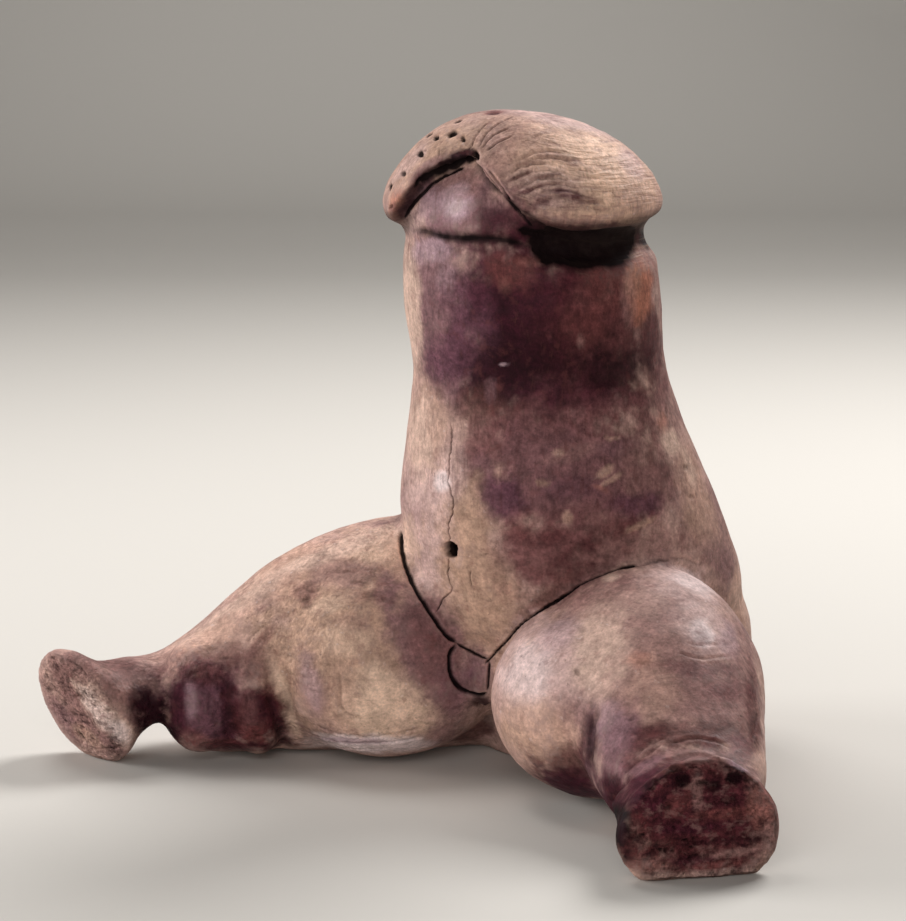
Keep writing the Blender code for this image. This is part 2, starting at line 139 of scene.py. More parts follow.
# Lines in the clay: their kind and where they run on the picture
LINES = (
    # the crack down the belly, through the hole, and its small neighbour
    ("crack", ((452, 424), (451, 444), (448.5, 461), (447.6, 484), (452, 498), (452, 512), (448.5, 526),
               (449, 543))),
    ("crack", ((449, 556), (447.6, 575), (451.5, 588.5), (446, 595), (441, 603), (436, 613))),
    ("scored", ((471.3, 568), (470.4, 577), (471.3, 591))),
    # where the belly meets the thighs
    ("seam", ((399.6, 528), (402, 551), (407.3, 568.4), (414.3, 586), (423.5, 602), (436, 621), (448, 636),
              (458.5, 643))),
    ("fine seam", ((455, 642), (472, 651.7), (489.4, 659.7))),
    ("fine seam", ((484, 665), (488.5, 659.5), (495, 652.5), (502, 645.5), (509, 637.5), (517, 629),
                   (528, 619), (541, 610), (555, 602), (569, 593))),
    ("fine seam", ((555, 602), (569, 592.5), (583, 583), (604, 574), (622, 567.5), (640, 563))),
    ("dent", ((618, 570.5), (633, 566), (653, 562), (674, 559), (688, 560), (701, 566))),
    # round the tab
    ("seam", ((457, 643), (451, 653), (450, 665), (454, 680), (464.5, 691), (479, 695), (488, 692))),
    ("fine seam", ((489.4, 659), (488.2, 679), (487, 693))),
    # the groove below the smooth front of the head
    ("soft groove", ((412, 230), (424, 232), (436.7, 235), (446.7, 238), (460, 239), (480, 239.5),
                     (497, 239.5), (512, 243), (530, 245))),
    # under the inner edge of the left lobe
    ("crevice", ((476, 158), (465, 160.8), (453.3, 166.7), (445, 169), (436.7, 173.3), (428.3, 176.7),
                 (421, 181), (415, 188))),
    ("fine seam", ((466, 167), (450, 173), (438, 180), (429, 187.5), (421, 196), (414, 204), (409, 211),
                   (405, 218))),
    # the hollow under the right lobe, deepened and filled with painted shadow
    ("crevice", ((516, 229), (526, 233), (538, 236), (552, 238))),
    ("undercut", ((520, 239), (545, 244), (560, 247), (583, 248.5), (603, 248), (625, 244), (642, 237),
                  (655, 229), (668, 220))),
    # lines drawn in the wet clay between the two lobes of the cap
    ("scored", ((469.8, 150), (474.8, 137.5), (480.7, 129.5), (488.6, 121.6))),
    ("scored", ((477.8, 150), (484.7, 135.5), (492.6, 127.6), (502.5, 121.6), (516.3, 116.7))),
    ("scored", ((480.7, 150), (488.6, 139.4), (498.5, 132.5), (510.4, 127.6))),
    ("scored", ((484.7, 152), (496.5, 143.4), (508.4, 137.5), (514.3, 134.5))),
    # fine ridges and the grooves beside them, down from the notch between the front and the right lobe
    ("scored", ((480.7, 167.1), (492.6, 180.9), (504.4, 196.8), (516.3, 210.6), (529, 224))),
    ("scored", ((486.6, 167.1), (498.5, 182.9), (510.4, 200.7), (522.2, 214.6), (533, 227))),
    ("ridge", ((483.5, 167), (495.5, 182), (507.4, 198.8), (519.2, 212.6), (531, 225.4))),
    ("ridge", ((491, 166), (504, 186), (516, 203), (530, 219))),
    # nicks in the inner edge of the left lobe
    ("scored", ((439, 145), (439.6, 159))),
    ("scored", ((469, 144), (469.4, 153))),
    # the far leg: creases between the rolls, and wiping marks
    ("crease", ((226, 672), (228, 700), (229, 722), (232, 744))),
    ("crease", ((268, 688), (274, 712), (282, 738), (286, 750))),
    ("dent", ((305, 733), (341, 742), (387, 742), (427, 736))),
    ("dent", ((312, 724), (345, 735), (390, 735), (421, 727))),
    ("wiped", ((322, 745), (352, 749), (392, 748))),
    ("dent", ((338, 667), (340.5, 690), (341, 706), (350, 715), (369, 721))),
    ("dent", ((293, 583), (300, 578), (309, 580))),
    ("dent", ((296, 592), (304, 588), (314, 592), (321, 588))),
    ("dent", ((300, 602), (309, 598), (318, 603))),
    ("dent", ((295, 611), (304, 608), (313, 612))),
    ("dent", ((340, 575), (350, 571), (360, 574))),
    ("dent", ((186, 677), (196, 671), (207, 669))),
    ("dent", ((196, 736), (203, 729), (211, 734))),
    ("dent", ((240, 690), (246, 700), (244, 712))),
    ("dent", ((250, 742), (258, 736), (266, 741))),
    ("dent", ((168, 702), (172, 713), (170, 726))),
    ("dent", ((214, 661), (226, 657), (238, 660))),
    ("wiped", ((183, 690), (181, 706), (184, 722))),
    ("wiped", ((207, 688), (209, 704), (206, 720))),
    ("dent", ((352, 586), (362, 581), (372, 587))),
    ("dent", ((246, 647), (251, 638), (259, 629), (271, 622))),
    ("wiped", ((252, 652), (262, 639), (275, 632))),
    # the near leg: the crease behind the calf, and marks above the rim of the foot
    ("crease", ((603, 703), (598, 711), (591.5, 725), (589, 750), (588, 775))),
    ("dent", ((624, 775), (637, 762), (653, 750), (664, 742))),
    ("dent", ((634, 757), (646, 746), (655, 737))),
    ("wiped", ((644, 751), (657, 741), (668, 736))),
    ("dent", ((668, 744), (692, 738), (716, 741), (730, 748))),
    ("rim", ((628, 784), (650, 766), (672, 757), (694, 753), (716, 757), (742, 768))),
    ("dent", ((757, 672), (754, 692), (757, 715), (753, 742))),
    ("wiped", ((684, 642), (700, 645), (722, 644))),
    ("wiped", ((676, 652), (702, 658), (734, 656))),
    # dents and scratches of the torso
    ("wiped", ((483, 458), (493, 451), (505, 446))),
    ("wiped", ((617, 430), (619, 446), (618, 462), (628, 476))),
    ("wiped", ((512, 511), (522, 503), (530, 500))),
    ("wiped", ((632, 529), (643, 521), (651, 517))),
    ("wiped", ((470, 478), (490, 468), (520, 462))),
    ("wiped", ((497, 486), (530, 470), (562, 459), (596, 450))),
    ("wiped", ((540, 500), (570, 488), (600, 470))),
    ("wiped", ((566, 408), (582, 406), (598, 407))),
    ("ridge", ((560, 516), (570, 515), (580, 516))),
    ("ridge", ((558, 525), (568, 524), (577, 525))),
    ("ridge", ((496, 414), (505, 413), (514, 414))),
    ("ridge", ((590, 484), (600, 475), (611, 468))),
    ("ridge", ((598, 490), (607, 484), (613, 474))),
    ("ridge", ((628, 531), (640, 526), (650, 519))),
    # curved strokes in the mottled part of the right lobe
    ("dent", ((507, 177), (517, 169), (531, 165), (547, 164))),
    ("wiped", ((510, 183), (524, 175), (540, 171), (560, 172))),
    ("dent", ((517, 189), (531, 182), (551, 178), (566, 179))),
    ("wiped", ((521, 196), (541, 186), (561, 184), (584, 190))),
    ("dent", ((529, 197), (548, 190), (570, 191), (590, 197))),
    ("dent", ((536, 205), (552, 197), (566, 197), (575, 204))),
    ("wiped", ((540, 211), (562, 206), (588, 207), (606, 210))),
    ("wiped", ((525, 143), (539, 136), (557, 132))),
    ("dent", ((527, 156), (545, 151), (566, 154))),
    ("wiped", ((516, 163), (528, 156), (540, 145))),
    ("wiped", ((512, 172), (530, 160), (552, 158), (574, 163))),
)
CAP_FROM = 0.185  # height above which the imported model's form is kept sharp
CAP_BLEND = 15 * MM
FADE = 6  # steps over which a line fades out at either end, and as many again for each mm of its half width
FADE_START = -2  # steps beyond its end where it would be gone
LINE_ROUND = 4  # half widths round a line within which the skin moves
THINNEST = 0.4  # share of its width that a line keeps where it fades out
PRESSURE_CHANGE = 0.2
BANK_PLACE = 2  # in half widths from the middle of the line
BANK_WIDTH = 0.8

# Holes and dents: place, half sizes in pixels, turn clockwise in degrees, depth in mm
Hole = namedtuple("Hole", "x y wide high turn depth")
HOLES = (
    # dots punched into the left lobe of the cap with a stick
    Hole(390.3, 186.5, 1.9, 3.8, -10, 1.6),
    Hole(403.2, 173.2, 2.2, 3.4, -20, 1.2),
    Hole(420.4, 154.2, 2.8, 3.6, -20, 1.9),
    Hole(436.0, 138.2, 2.6, 2.9, -20, 1.8),
    Hole(429.3, 134.8, 3.4, 2.0, -30, 1.7),
    Hole(452.4, 134.1, 4.4, 3.2, -38, 2.0),
    Hole(457.5, 121.5, 3.8, 1.7, -20, 1.5),
    Hole(463.2, 139.2, 1.9, 3.0, -10, 1.2),
    Hole(390.8, 206.6, 2.6, 1.8, -30, 0.9),
    Hole(425.4, 150.3, 1.4, 1.8, 0, 0.5),
    Hole(493.5, 113.6, 5.2, 1.8, -4, 0.7),
    # the notch where the lobes meet
    Hole(475.8, 155.5, 2.8, 5.0, -10, 2.6),
    Hole(470.0, 160.5, 4.0, 3.0, -20, 1.8),
    # the hole in the belly
    Hole(450.5, 549.5, 6.0, 7.0, 0, 7.0),
    # flaked and dented places
    Hole(306, 600, 6, 4, -30, 0.5),
    Hole(368, 595, 5, 4, 0, 0.5),
    Hole(385, 600, 4, 3, 0, 0.4),
    Hole(300, 612, 4, 3, -40, 0.4),
    Hole(577, 672, 2.6, 3.2, -20, 0.6),
    Hole(632, 719, 3, 2, -10, 0.4),
    Hole(648, 668, 3, 4, 0, 0.3),
    Hole(686, 468, 3, 3, 0, 0.5),
    Hole(692, 497, 4, 3, 0, 0.4),
    Hole(608, 462, 4, 6, -20, 0.4),
    Hole(500, 363, 4, 2, 0, 0.3),
    # pits in the sole of the near foot
    Hole(683, 781, 7, 6, 0, 1.0),
    Hole(676, 768, 6, 3, 0, 0.8),
    Hole(714, 787, 7, 5, 0, 0.8),
    Hole(735, 778, 7, 6, 0, 1.0),
    Hole(729, 801, 8, 3, 0, 0.7),
    Hole(652, 784, 8, 4, -30, 0.7),
)

HOLE_REACH = 6 * MM  # how far behind its mouth a hole still shapes the skin
HOLE_ROUND = 3  # half sizes round a hole within which the skin moves
HOLE_EDGE = 1.35  # where a hole begins and where its floor and its earth and painted shade are full, in its half sizes
HOLE_FLOOR = 0.4
HOLE_EARTH_AND_SHADE = 0.8
HOLE_EARTH_AND_SHADE_SHARE = 0.6  # earth and painted shade in a hole for each mm of its depth
HOLE_WAVER = 0.25

# The broken faces of the feet: middle on the picture, radius in mm, depth of the wear in mm
Sole = namedtuple("Sole", "x y radius depth")
SOLES = (
    Sole(709, 812, 33, 1.3),
    Sole(90, 702, 34, 0.8),
)

SOLE_FACING = (0.60, 0.82)  # cosine to the sole's own direction from which a face belongs to it
SOLE_EDGE = 0.86  # share of the radius where the wear is full
SOLE_LAYERS = (1, 1, 2.2)  # broken clay lies in level layers
PITS_SHOW = (0.1, 0.7)  # values of their lumps between which pits deepen
PITS_BELOW = (0.3, -0.2)  # values of the broken clay between which they begin
LUMPS_UP = 0.7  # shares of the depth of the wear
PITS_DOWN = 0.8
WORN_AWAY = 0.2
# share of earth and painted shade in the pits
PITS_EARTH_AND_SHADE = 0.6

# Strokes of the wet hand over the right lobe fan out from the notch between these two lines
COMB_TOP = ((472, 160), (482, 132), (500, 110), (540, 96), (600, 92), (668, 96))
COMB_BOTTOM = ((472, 160), (488, 186), (512, 208), (548, 228), (604, 236), (668, 228))
COMB_LINES = 34
COMB_RUN = 8 * MM  # how far one stroke stays the same along its way
COMB_DEPTH = 0.15 * MM
COMB_HEIGHTS = (0.196, 0.206)  # heights between which the strokes begin
COMB_BEGINS = (24, 80)  # pixels from the notch between which they begin
COMB_EDGE = (0.5, 7)  # pixels inside the two lines between which they begin
COMB_SIDE = (474, 492)  # pixels across the picture between which they begin, at the height of the notch
COMB_SLANT = 0.85  # how far that border moves to the right for each pixel down
TINY = 1e-6

# Colours on the picture, painted highlights and painted shade among them: middle, half sizes in pixels, turn
# clockwise in degrees, colour and strength. Later ones lie over earlier ones.
Patch = namedtuple("Patch", "x y wide high turn colour strength")
PATCHES = (
    # cap, right lobe
    Patch(575, 170, 104, 72, 12, "tan", 0.95),
    Patch(600, 172, 66, 46, 10, "ochre", 1.0),
    # along the top of the right lobe: pink colour and painted light from above
    Patch(560, 118, 70, 12, 12, "pink", 0.8),
    # a painted highlight on the right lobe
    Patch(632, 162, 13, 22, -24, "lilac", 0.45),
    Patch(634, 205, 26, 26, 0, "tan", 0.6),
    Patch(606, 214, 40, 10, 2, "ochre", 0.9),
    Patch(496, 170, 16, 30, 28, "brick", 0.5),
    Patch(498, 134, 26, 20, -10, "brick", 0.35),
    Patch(548, 186, 38, 22, 8, "pink", 0.5),
    Patch(560, 196, 28, 12, 8, "mauve", 0.15),
    Patch(520, 176, 14, 2.6, -24, "umber", 0.8),
    Patch(530, 190, 14, 2.6, -22, "umber", 0.9),
    Patch(546, 176, 15, 2.4, -10, "umber", 0.7),
    Patch(540, 205, 12, 2.4, -30, "umber", 0.7),
    Patch(566, 193, 14, 4, 10, "violet", 0.8),
    Patch(552, 184, 10, 2.2, -8, "umber", 0.6),
    Patch(585, 199, 14, 4, 8, "umber", 0.7),
    Patch(548, 205, 16, 4, -10, "pink", 0.4),
    Patch(560, 158, 26, 5, 12, "brick", 0.5),
    Patch(606, 210, 22, 4, 4, "brick", 0.25),
    Patch(525, 205, 14, 6, 40, "umber", 0.6),
    Patch(575, 224, 60, 6, 3, "brick", 0.65),
    Patch(575, 229, 56, 4, 3, "umber", 0.9),
    # painted shadow at both ends of the hollow under the right lobe
    Patch(643, 238, 14, 13, -20, "dirt", 1.0),
    Patch(534, 234, 10, 6, 24, "dirt", 0.95),
    # cap, left lobe
    Patch(430, 158, 64, 36, -42, "sand", 0.9),
    Patch(408, 164, 30, 9, -50, "pink", 0.6),
    Patch(395, 195, 8, 14, 20, "tan", 0.6),
    Patch(396, 204, 8, 13, 10, "copper", 0.7),
    Patch(393, 207, 4, 5, 10, "rust", 0.5),
    Patch(402, 213, 5, 6, -20, "soot_and_shade", 0.85),
    Patch(494, 112.5, 11, 4, -3, "rust", 0.9),
    Patch(473, 112, 14, 5, -12, "copper", 0.35),
    # painted shade on the turned-under inner edge of the left lobe and in the crevice below it
    Patch(430, 168, 20, 8, -36, "mauve", 0.7),
    Patch(410, 200, 7, 20, 32, "brown", 0.85),
    Patch(421, 183, 16, 7, -48, "umber", 0.9),
    Patch(409, 206, 12, 4, -58, "plum", 0.85),
    Patch(454, 162, 24, 7, -24, "soot_and_shade", 1.0),
    Patch(467, 155, 11, 6, -16, "soot_and_shade", 0.9),
    Patch(446, 169, 24, 5, -28, "dirt", 0.6),
    Patch(426, 184, 13, 4, -42, "soot_and_shade", 0.9),
    # smooth front of the head
    Patch(464, 208, 64, 38, 0, "mauve", 0.9),
    Patch(414, 222, 12, 20, 30, "pink", 0.8),
    Patch(432, 208, 18, 18, 20, "lilac", 0.6),
    # a painted highlight on the smooth front
    Patch(455, 208, 17, 16, -30, "lilac", 1.0),
    Patch(455, 207, 9, 8, -30, "pale", 0.4),
    Patch(462, 184, 24, 12, -20, "brick", 0.85),
    Patch(450, 196, 20, 8, -30, "lilac", 0.5),
    Patch(490, 222, 13, 18, 10, "plum", 0.7),
    Patch(500, 222, 12, 14, 20, "plum", 0.5),
    Patch(512, 222, 20, 16, 45, "plum", 0.8),
    Patch(518, 236, 14, 6, 10, "rust", 0.6),
    # painted shade in the groove below the smooth front
    Patch(476, 240, 34, 5, 1, "soot_and_shade", 0.8),
    # column
    Patch(560, 330, 124, 110, 0, "brown", 0.95),
    Patch(438, 300, 40, 90, 0, "mauve", 0.95),
    # the pale strip down the left edge: the clay's colour and painted light from the left
    Patch(411, 308, 13, 62, 0, "cream", 1.0),
    Patch(413, 376, 15, 30, 0, "sand", 0.85),
    Patch(430, 250, 22, 14, 0, "lilac", 0.6),
    Patch(448, 276, 12, 20, 0, "lilac", 0.25),
    Patch(520, 330, 66, 104, 0, "plum", 1.0),
    Patch(518, 322, 34, 52, 0, "soot_and_shade", 0.45),
    Patch(596, 320, 56, 70, 0, "oxblood", 0.75),
    Patch(470, 320, 26, 60, 0, "violet", 0.8),
    Patch(446, 380, 22, 40, 0, "violet", 0.75),
    Patch(478, 290, 14, 30, 0, "plum", 0.6),
    Patch(548, 290, 30, 40, 0, "plum", 0.5),
    Patch(514, 274, 26, 18, 30, "rust", 0.8),
    Patch(534, 262, 16, 6, 0, "clay_pink", 0.5),
    Patch(506, 287, 6, 8, 0, "clay_pink", 0.4),
    Patch(584, 330, 20, 24, 0, "rust", 0.4),
    Patch(608, 285, 22, 26, 0, "rust", 0.6),
    Patch(641, 288, 16, 34, 0, "copper", 0.9),
    Patch(634, 280, 9, 18, 0, "tan", 0.3),
    Patch(628, 300, 9, 26, 0, "brick", 0.5),
    Patch(652, 350, 12, 40, 0, "oxblood", 0.9),
    Patch(448, 360, 28, 26, 0, "violet", 0.7),
    Patch(498, 376, 38, 46, 0, "soot_and_shade", 0.85),
    Patch(545, 366, 40, 40, 0, "soot_and_shade", 0.6),
    Patch(616, 370, 46, 30, 6, "soot_and_shade", 0.9),
    Patch(585, 396, 80, 14, 2, "plum", 0.7),
    Patch(478, 408, 34, 26, 0, "umber", 0.8),
    Patch(660, 392, 14, 24, 10, "brown", 0.7),
    Patch(580, 342, 4, 8, 0, "brick", 0.6),
    Patch(491, 391, 6, 13, 0, "mauve", 0.8),
    Patch(503, 364, 5, 2, 0, "lilac", 0.7),
    Patch(504, 419, 9, 6, 0, "brick", 0.8),
    # belly
    Patch(570, 470, 116, 76, 5, "brown", 0.95),
    Patch(560, 470, 84, 50, 5, "mauve", 0.4),
    Patch(480, 440, 22, 34, 20, "brown", 0.8),
    Patch(574, 452, 28, 9, -16, "brick", 0.45),
    Patch(620, 446, 26, 9, -10, "mauve", 0.5),
    Patch(668, 425, 20, 30, -16, "brick", 0.6),
    Patch(642, 470, 22, 40, 0, "brick", 0.5),
    Patch(651, 452, 5, 20, 0, "umber", 0.3),
    Patch(715, 530, 40, 90, -16, "brick", 0.75),
    Patch(698, 500, 18, 60, -16, "tan", 0.7),
    Patch(722, 560, 22, 26, -16, "mauve", 0.5),
    Patch(671, 441, 11, 15, -20, "cream", 0.85),
    Patch(662, 420, 7, 9, 0, "copper", 0.4),
    Patch(690, 470, 5, 24, -16, "cream", 0.6),
    Patch(428, 520, 32, 110, 0, "pink", 0.9),
    Patch(430, 425, 20, 44, 0, "sand", 0.6),
    Patch(418, 440, 13, 40, 0, "cream", 0.8),
    Patch(418, 516, 14, 12, 0, "mauve", 0.3),
    Patch(480, 474, 16, 20, 0, "mauve", 0.6),
    Patch(480, 590, 38, 76, -14, "sand", 0.95),
    Patch(472, 515, 16, 40, 0, "sand", 0.8),
    Patch(455, 470, 12, 30, 0, "pink", 0.5),
    Patch(502, 500, 26, 24, 0, "violet", 0.9),
    Patch(632, 504, 32, 14, -6, "violet", 0.8),
    Patch(575, 490, 30, 14, 0, "violet", 0.4),
    Patch(560, 556, 70, 46, -22, "brown", 0.95),
    Patch(540, 535, 34, 12, 0, "oxblood", 0.6),
    Patch(590, 556, 60, 20, -28, "oxblood", 1.0),
    Patch(582, 552, 30, 9, -28, "soot_and_shade", 0.4),
    Patch(548, 600, 46, 14, -38, "umber", 0.85),
    Patch(640, 545, 60, 16, -8, "brick", 0.6),
    Patch(604, 472, 10, 6, -40, "tan", 0.7),
    Patch(610, 480, 14, 3, -30, "tan", 0.6),
    Patch(600, 488, 10, 3, 20, "clay_pink", 0.7),
    Patch(567, 518, 6, 8, 0, "tan", 0.7),
    Patch(543, 484, 7, 3, 10, "sand", 0.5),
    Patch(640, 525, 16, 3, -24, "sand", 0.6),
    Patch(558, 453, 6, 3, 0, "tan", 0.5),
    Patch(612, 438, 8, 2, 0, "tan", 0.5),
    # a painted highlight on the belly
    Patch(442, 483, 8, 10, 0, "pale", 0.8),
    # tab
    Patch(470, 672, 24, 26, 0, "mauve", 0.95),
    Patch(468, 676, 9, 10, 0, "violet", 0.6),
    # painted shade between the thighs
    Patch(482, 703, 11, 8, 10, "soot_and_shade", 0.9),
    Patch(472, 735, 26, 15, -20, "umber", 0.8),
    # far leg, thigh
    Patch(350, 640, 120, 110, 0, "sand", 0.95),
    Patch(352, 622, 18, 10, 0, "mauve", 0.6),
    Patch(300, 572, 60, 34, -20, "tan", 0.6),
    Patch(385, 545, 40, 26, -10, "straw", 0.5),
    # the pale top edge of the far thigh: the clay's colour and painted light from above
    Patch(330, 553, 80, 9, -22, "cream", 0.8),
    Patch(230, 612, 70, 9, -34, "cream", 0.7),
    Patch(330, 610, 50, 34, -10, "sand", 0.6),
    Patch(345, 574, 34, 16, 0, "mauve", 0.5),
    Patch(384, 594, 14, 30, -10, "mauve", 0.6),
    Patch(306, 592, 14, 10, 0, "brown", 0.6),
    Patch(306, 604, 8, 5, 0, "umber", 0.6),
    Patch(366, 596, 30, 9, 0, "brown", 0.4),
    Patch(262, 640, 26, 7, -50, "brown", 0.5),
    # painted light on the lower bulge of the far thigh
    Patch(384, 706, 60, 40, 4, "straw", 0.85),
    Patch(330, 604, 24, 9, -20, "straw", 0.35),
    Patch(345, 640, 30, 16, 10, "straw", 0.3),
    Patch(340, 700, 20, 40, 0, "tan", 0.6),
    Patch(424, 640, 40, 70, -20, "mauve", 0.85),
    Patch(432, 650, 22, 50, -20, "brown", 0.5),
    Patch(392, 556, 9, 22, -10, "tan", 0.3),
    Patch(450, 690, 20, 30, 0, "mauve", 0.8),
    Patch(310, 690, 16, 36, -12, "mauve", 0.45),
    Patch(312, 690, 9, 28, -12, "lilac", 0.35),
    Patch(284, 700, 8, 44, -16, "straw", 0.8),
    # painted light on the shaded underside of the far thigh
    Patch(368, 745, 70, 12, 0, "pale", 0.9),
    Patch(350, 741, 40, 4, 0, "lilac", 0.7),
    Patch(440, 735, 20, 14, -20, "mauve", 0.6),
    # far leg, calf and foot
    Patch(232, 668, 50, 26, -16, "brown", 0.6),
    Patch(215, 634, 50, 14, -34, "tan", 0.7),
    Patch(212, 708, 62, 48, 0, "violet", 0.95),
    Patch(188, 735, 14, 8, 0, "rust", 0.5),
    Patch(205, 676, 30, 12, 0, "oxblood", 0.6),
    Patch(190, 700, 8, 18, 0, "lilac", 0.3),
    Patch(200, 738, 10, 6, 0, "clay_pink", 0.4),
    Patch(176, 716, 10, 40, 6, "plum", 0.9),
    # painted shade in the crease between the rolls
    Patch(229, 712, 10, 38, 0, "plum", 0.7),
    Patch(260, 716, 32, 42, -10, "oxblood", 1.0),
    Patch(252, 706, 16, 22, 0, "plum", 0.6),
    Patch(256, 704, 14, 18, 0, "soot_and_shade", 0.4),
    Patch(256, 735, 14, 16, 0, "rust", 0.5),
    Patch(248, 708, 9, 24, 0, "brown", 0.6),
    # painted shade in the second crease
    Patch(278, 724, 7, 30, -14, "plum", 0.6),
    Patch(212, 744, 40, 7, 0, "rust", 0.7),
    Patch(250, 747, 40, 7, 0, "plum", 0.6),
    Patch(136, 684, 38, 34, 0, "plum", 0.65),
    # painted shade under the ankle, between the foot and the calf
    Patch(152, 718, 22, 40, 0, "soot_and_shade", 1.0),
    Patch(96, 660, 60, 14, 4, "brown", 1.0),
    Patch(96, 666, 44, 12, 14, "umber", 0.65),
    Patch(180, 664, 40, 16, 0, "brown", 0.45),
    Patch(84, 704, 44, 52, -30, "brick", 0.9),
    Patch(70, 680, 20, 20, 0, "umber", 0.3),
    Patch(62, 715, 10, 28, -30, "mauve", 0.6),
    Patch(106, 716, 14, 42, -36, "cream", 0.9),
    Patch(88, 736, 22, 9, 30, "tan", 0.7),
    Patch(106, 718, 11, 34, -36, "pale", 0.35),
    Patch(118, 732, 10, 14, -30, "pale", 0.4),
    # near leg, thigh
    Patch(640, 660, 130, 120, 0, "brick", 0.7),
    Patch(535, 665, 56, 60, 0, "pink", 0.95),
    Patch(526, 672, 26, 34, 0, "pale", 0.45),
    Patch(535, 725, 52, 34, 18, "tan", 0.85),
    Patch(520, 745, 30, 14, 40, "sand", 0.6),
    Patch(602, 650, 28, 50, 0, "cream", 0.8),
    Patch(640, 604, 30, 16, -10, "cream", 0.35),
    Patch(560, 632, 26, 14, -36, "lilac", 0.3),
    Patch(570, 764, 34, 20, 0, "umber", 0.9),
    Patch(568, 786, 48, 18, 20, "plum", 1.0),
    Patch(576, 775, 20, 12, 10, "plum", 0.7),
    # painted shade in the crease behind the calf
    Patch(590, 742, 9, 40, 4, "plum", 0.8),
    Patch(591, 744, 4, 36, 4, "soot_and_shade", 0.85),
    Patch(640, 605, 46, 24, -16, "brick", 0.25),
    Patch(600, 590, 34, 12, -36, "brick", 0.5),
    Patch(610, 577, 9, 4, -20, "cream", 0.8),
    Patch(690, 580, 46, 20, 6, "pink", 0.9),
    # a painted highlight on top of the near thigh
    Patch(696, 582, 26, 12, 6, "pale", 0.5),
    Patch(738, 600, 16, 34, 0, "tan", 0.7),
    # the painted highlight of the knee, pale in the middle and pink round it
    Patch(706, 632, 26, 22, 0, "pink", 0.75),
    Patch(703, 632, 11, 15, -10, "pale", 1.0),
    Patch(700, 614, 26, 20, 0, "pink", 0.4),
    Patch(728, 640, 12, 20, 0, "lilac", 0.4),
    # near leg, shin
    Patch(690, 690, 76, 50, 0, "brick", 0.9),
    Patch(650, 690, 26, 40, 0, "tan", 0.45),
    Patch(695, 668, 40, 8, 2, "brown", 0.5),
    Patch(722, 690, 26, 9, 0, "brown", 0.6),
    Patch(640, 658, 12, 8, 0, "copper", 0.3),
    Patch(748, 660, 10, 40, 0, "brick", 0.6),
    Patch(754, 712, 9, 44, 0, "oxblood", 0.75),
    Patch(705, 734, 62, 16, 0, "umber", 0.8),
    Patch(616, 752, 24, 56, 6, "mauve", 0.95),
    Patch(624, 744, 18, 14, 0, "violet", 0.5),
    Patch(610, 724, 14, 30, 0, "lilac", 0.3),
    Patch(646, 738, 26, 12, -30, "oxblood", 0.85),
    Patch(616, 748, 16, 30, 4, "mauve", 0.7),
    # painted shade on the flank of the near foot
    Patch(612, 802, 18, 28, -10, "plum", 1.0),
    Patch(690, 758, 58, 9, 0, "brick", 0.8),
    Patch(742, 750, 18, 16, 0, "brown", 0.85),
    # near leg, foot
    Patch(698, 814, 86, 64, 0, "oxblood", 1.0),
    Patch(700, 812, 56, 30, 0, "plum", 0.5),
    # painted shade on the flank of the near foot
    Patch(620, 822, 13, 48, -6, "dirt", 1.0),
    Patch(640, 786, 34, 9, -34, "plum", 0.9),
    Patch(684, 780, 9, 8, 0, "soot_and_shade", 0.9),
    Patch(672, 768, 14, 5, -10, "umber", 0.7),
    Patch(714, 786, 10, 8, 0, "soot_and_shade", 0.7),
    Patch(735, 777, 9, 8, 0, "soot_and_shade", 0.9),
    Patch(655, 802, 24, 9, 0, "plum", 0.6),
    Patch(638, 826, 9, 14, 0, "oxblood", 0.85),
    Patch(698, 793, 6, 22, 0, "brick", 0.6),
    Patch(688, 800, 4, 14, 0, "rust", 0.5),
    Patch(675, 806, 10, 12, 0, "rust", 0.6),
    Patch(730, 814, 36, 6, 0, "rust", 0.9),
    Patch(762, 812, 13, 34, -10, "clay_pink", 0.85),
    Patch(768, 796, 5, 10, 0, "clay_pink", 0.6),
    Patch(768, 836, 9, 14, 0, "brick", 0.8),
    Patch(738, 838, 28, 4, 0, "soot_and_shade", 0.7),
    Patch(690, 828, 30, 5, 0, "plum", 0.7),
    Patch(694, 848, 50, 12, 0, "oxblood", 0.75),
    Patch(690, 864, 66, 10, 0, "oxblood", 0.7),
    Patch(734, 853, 24, 4, -6, "brick", 0.8),
    Patch(716, 842, 40, 4, -2, "soot_and_shade", 0.6),
    Patch(632, 848, 8, 10, -30, "rust", 0.6),
    # painted shade on the flank of the near foot
    Patch(624, 840, 6, 26, -8, "soot_and_shade", 0.8),
    Patch(652, 866, 22, 4, 0, "clay_pink", 0.8),
    Patch(694, 862, 22, 6, 0, "plum", 0.6),
    Patch(720, 866, 30, 4, -4, "rust", 0.8),
    Patch(652, 762, 26, 4, -30, "mauve", 0.9),
    Patch(694, 754, 34, 4, 0, "brick", 0.85),
    Patch(740, 766, 16, 4, 24, "lilac", 0.6),
)

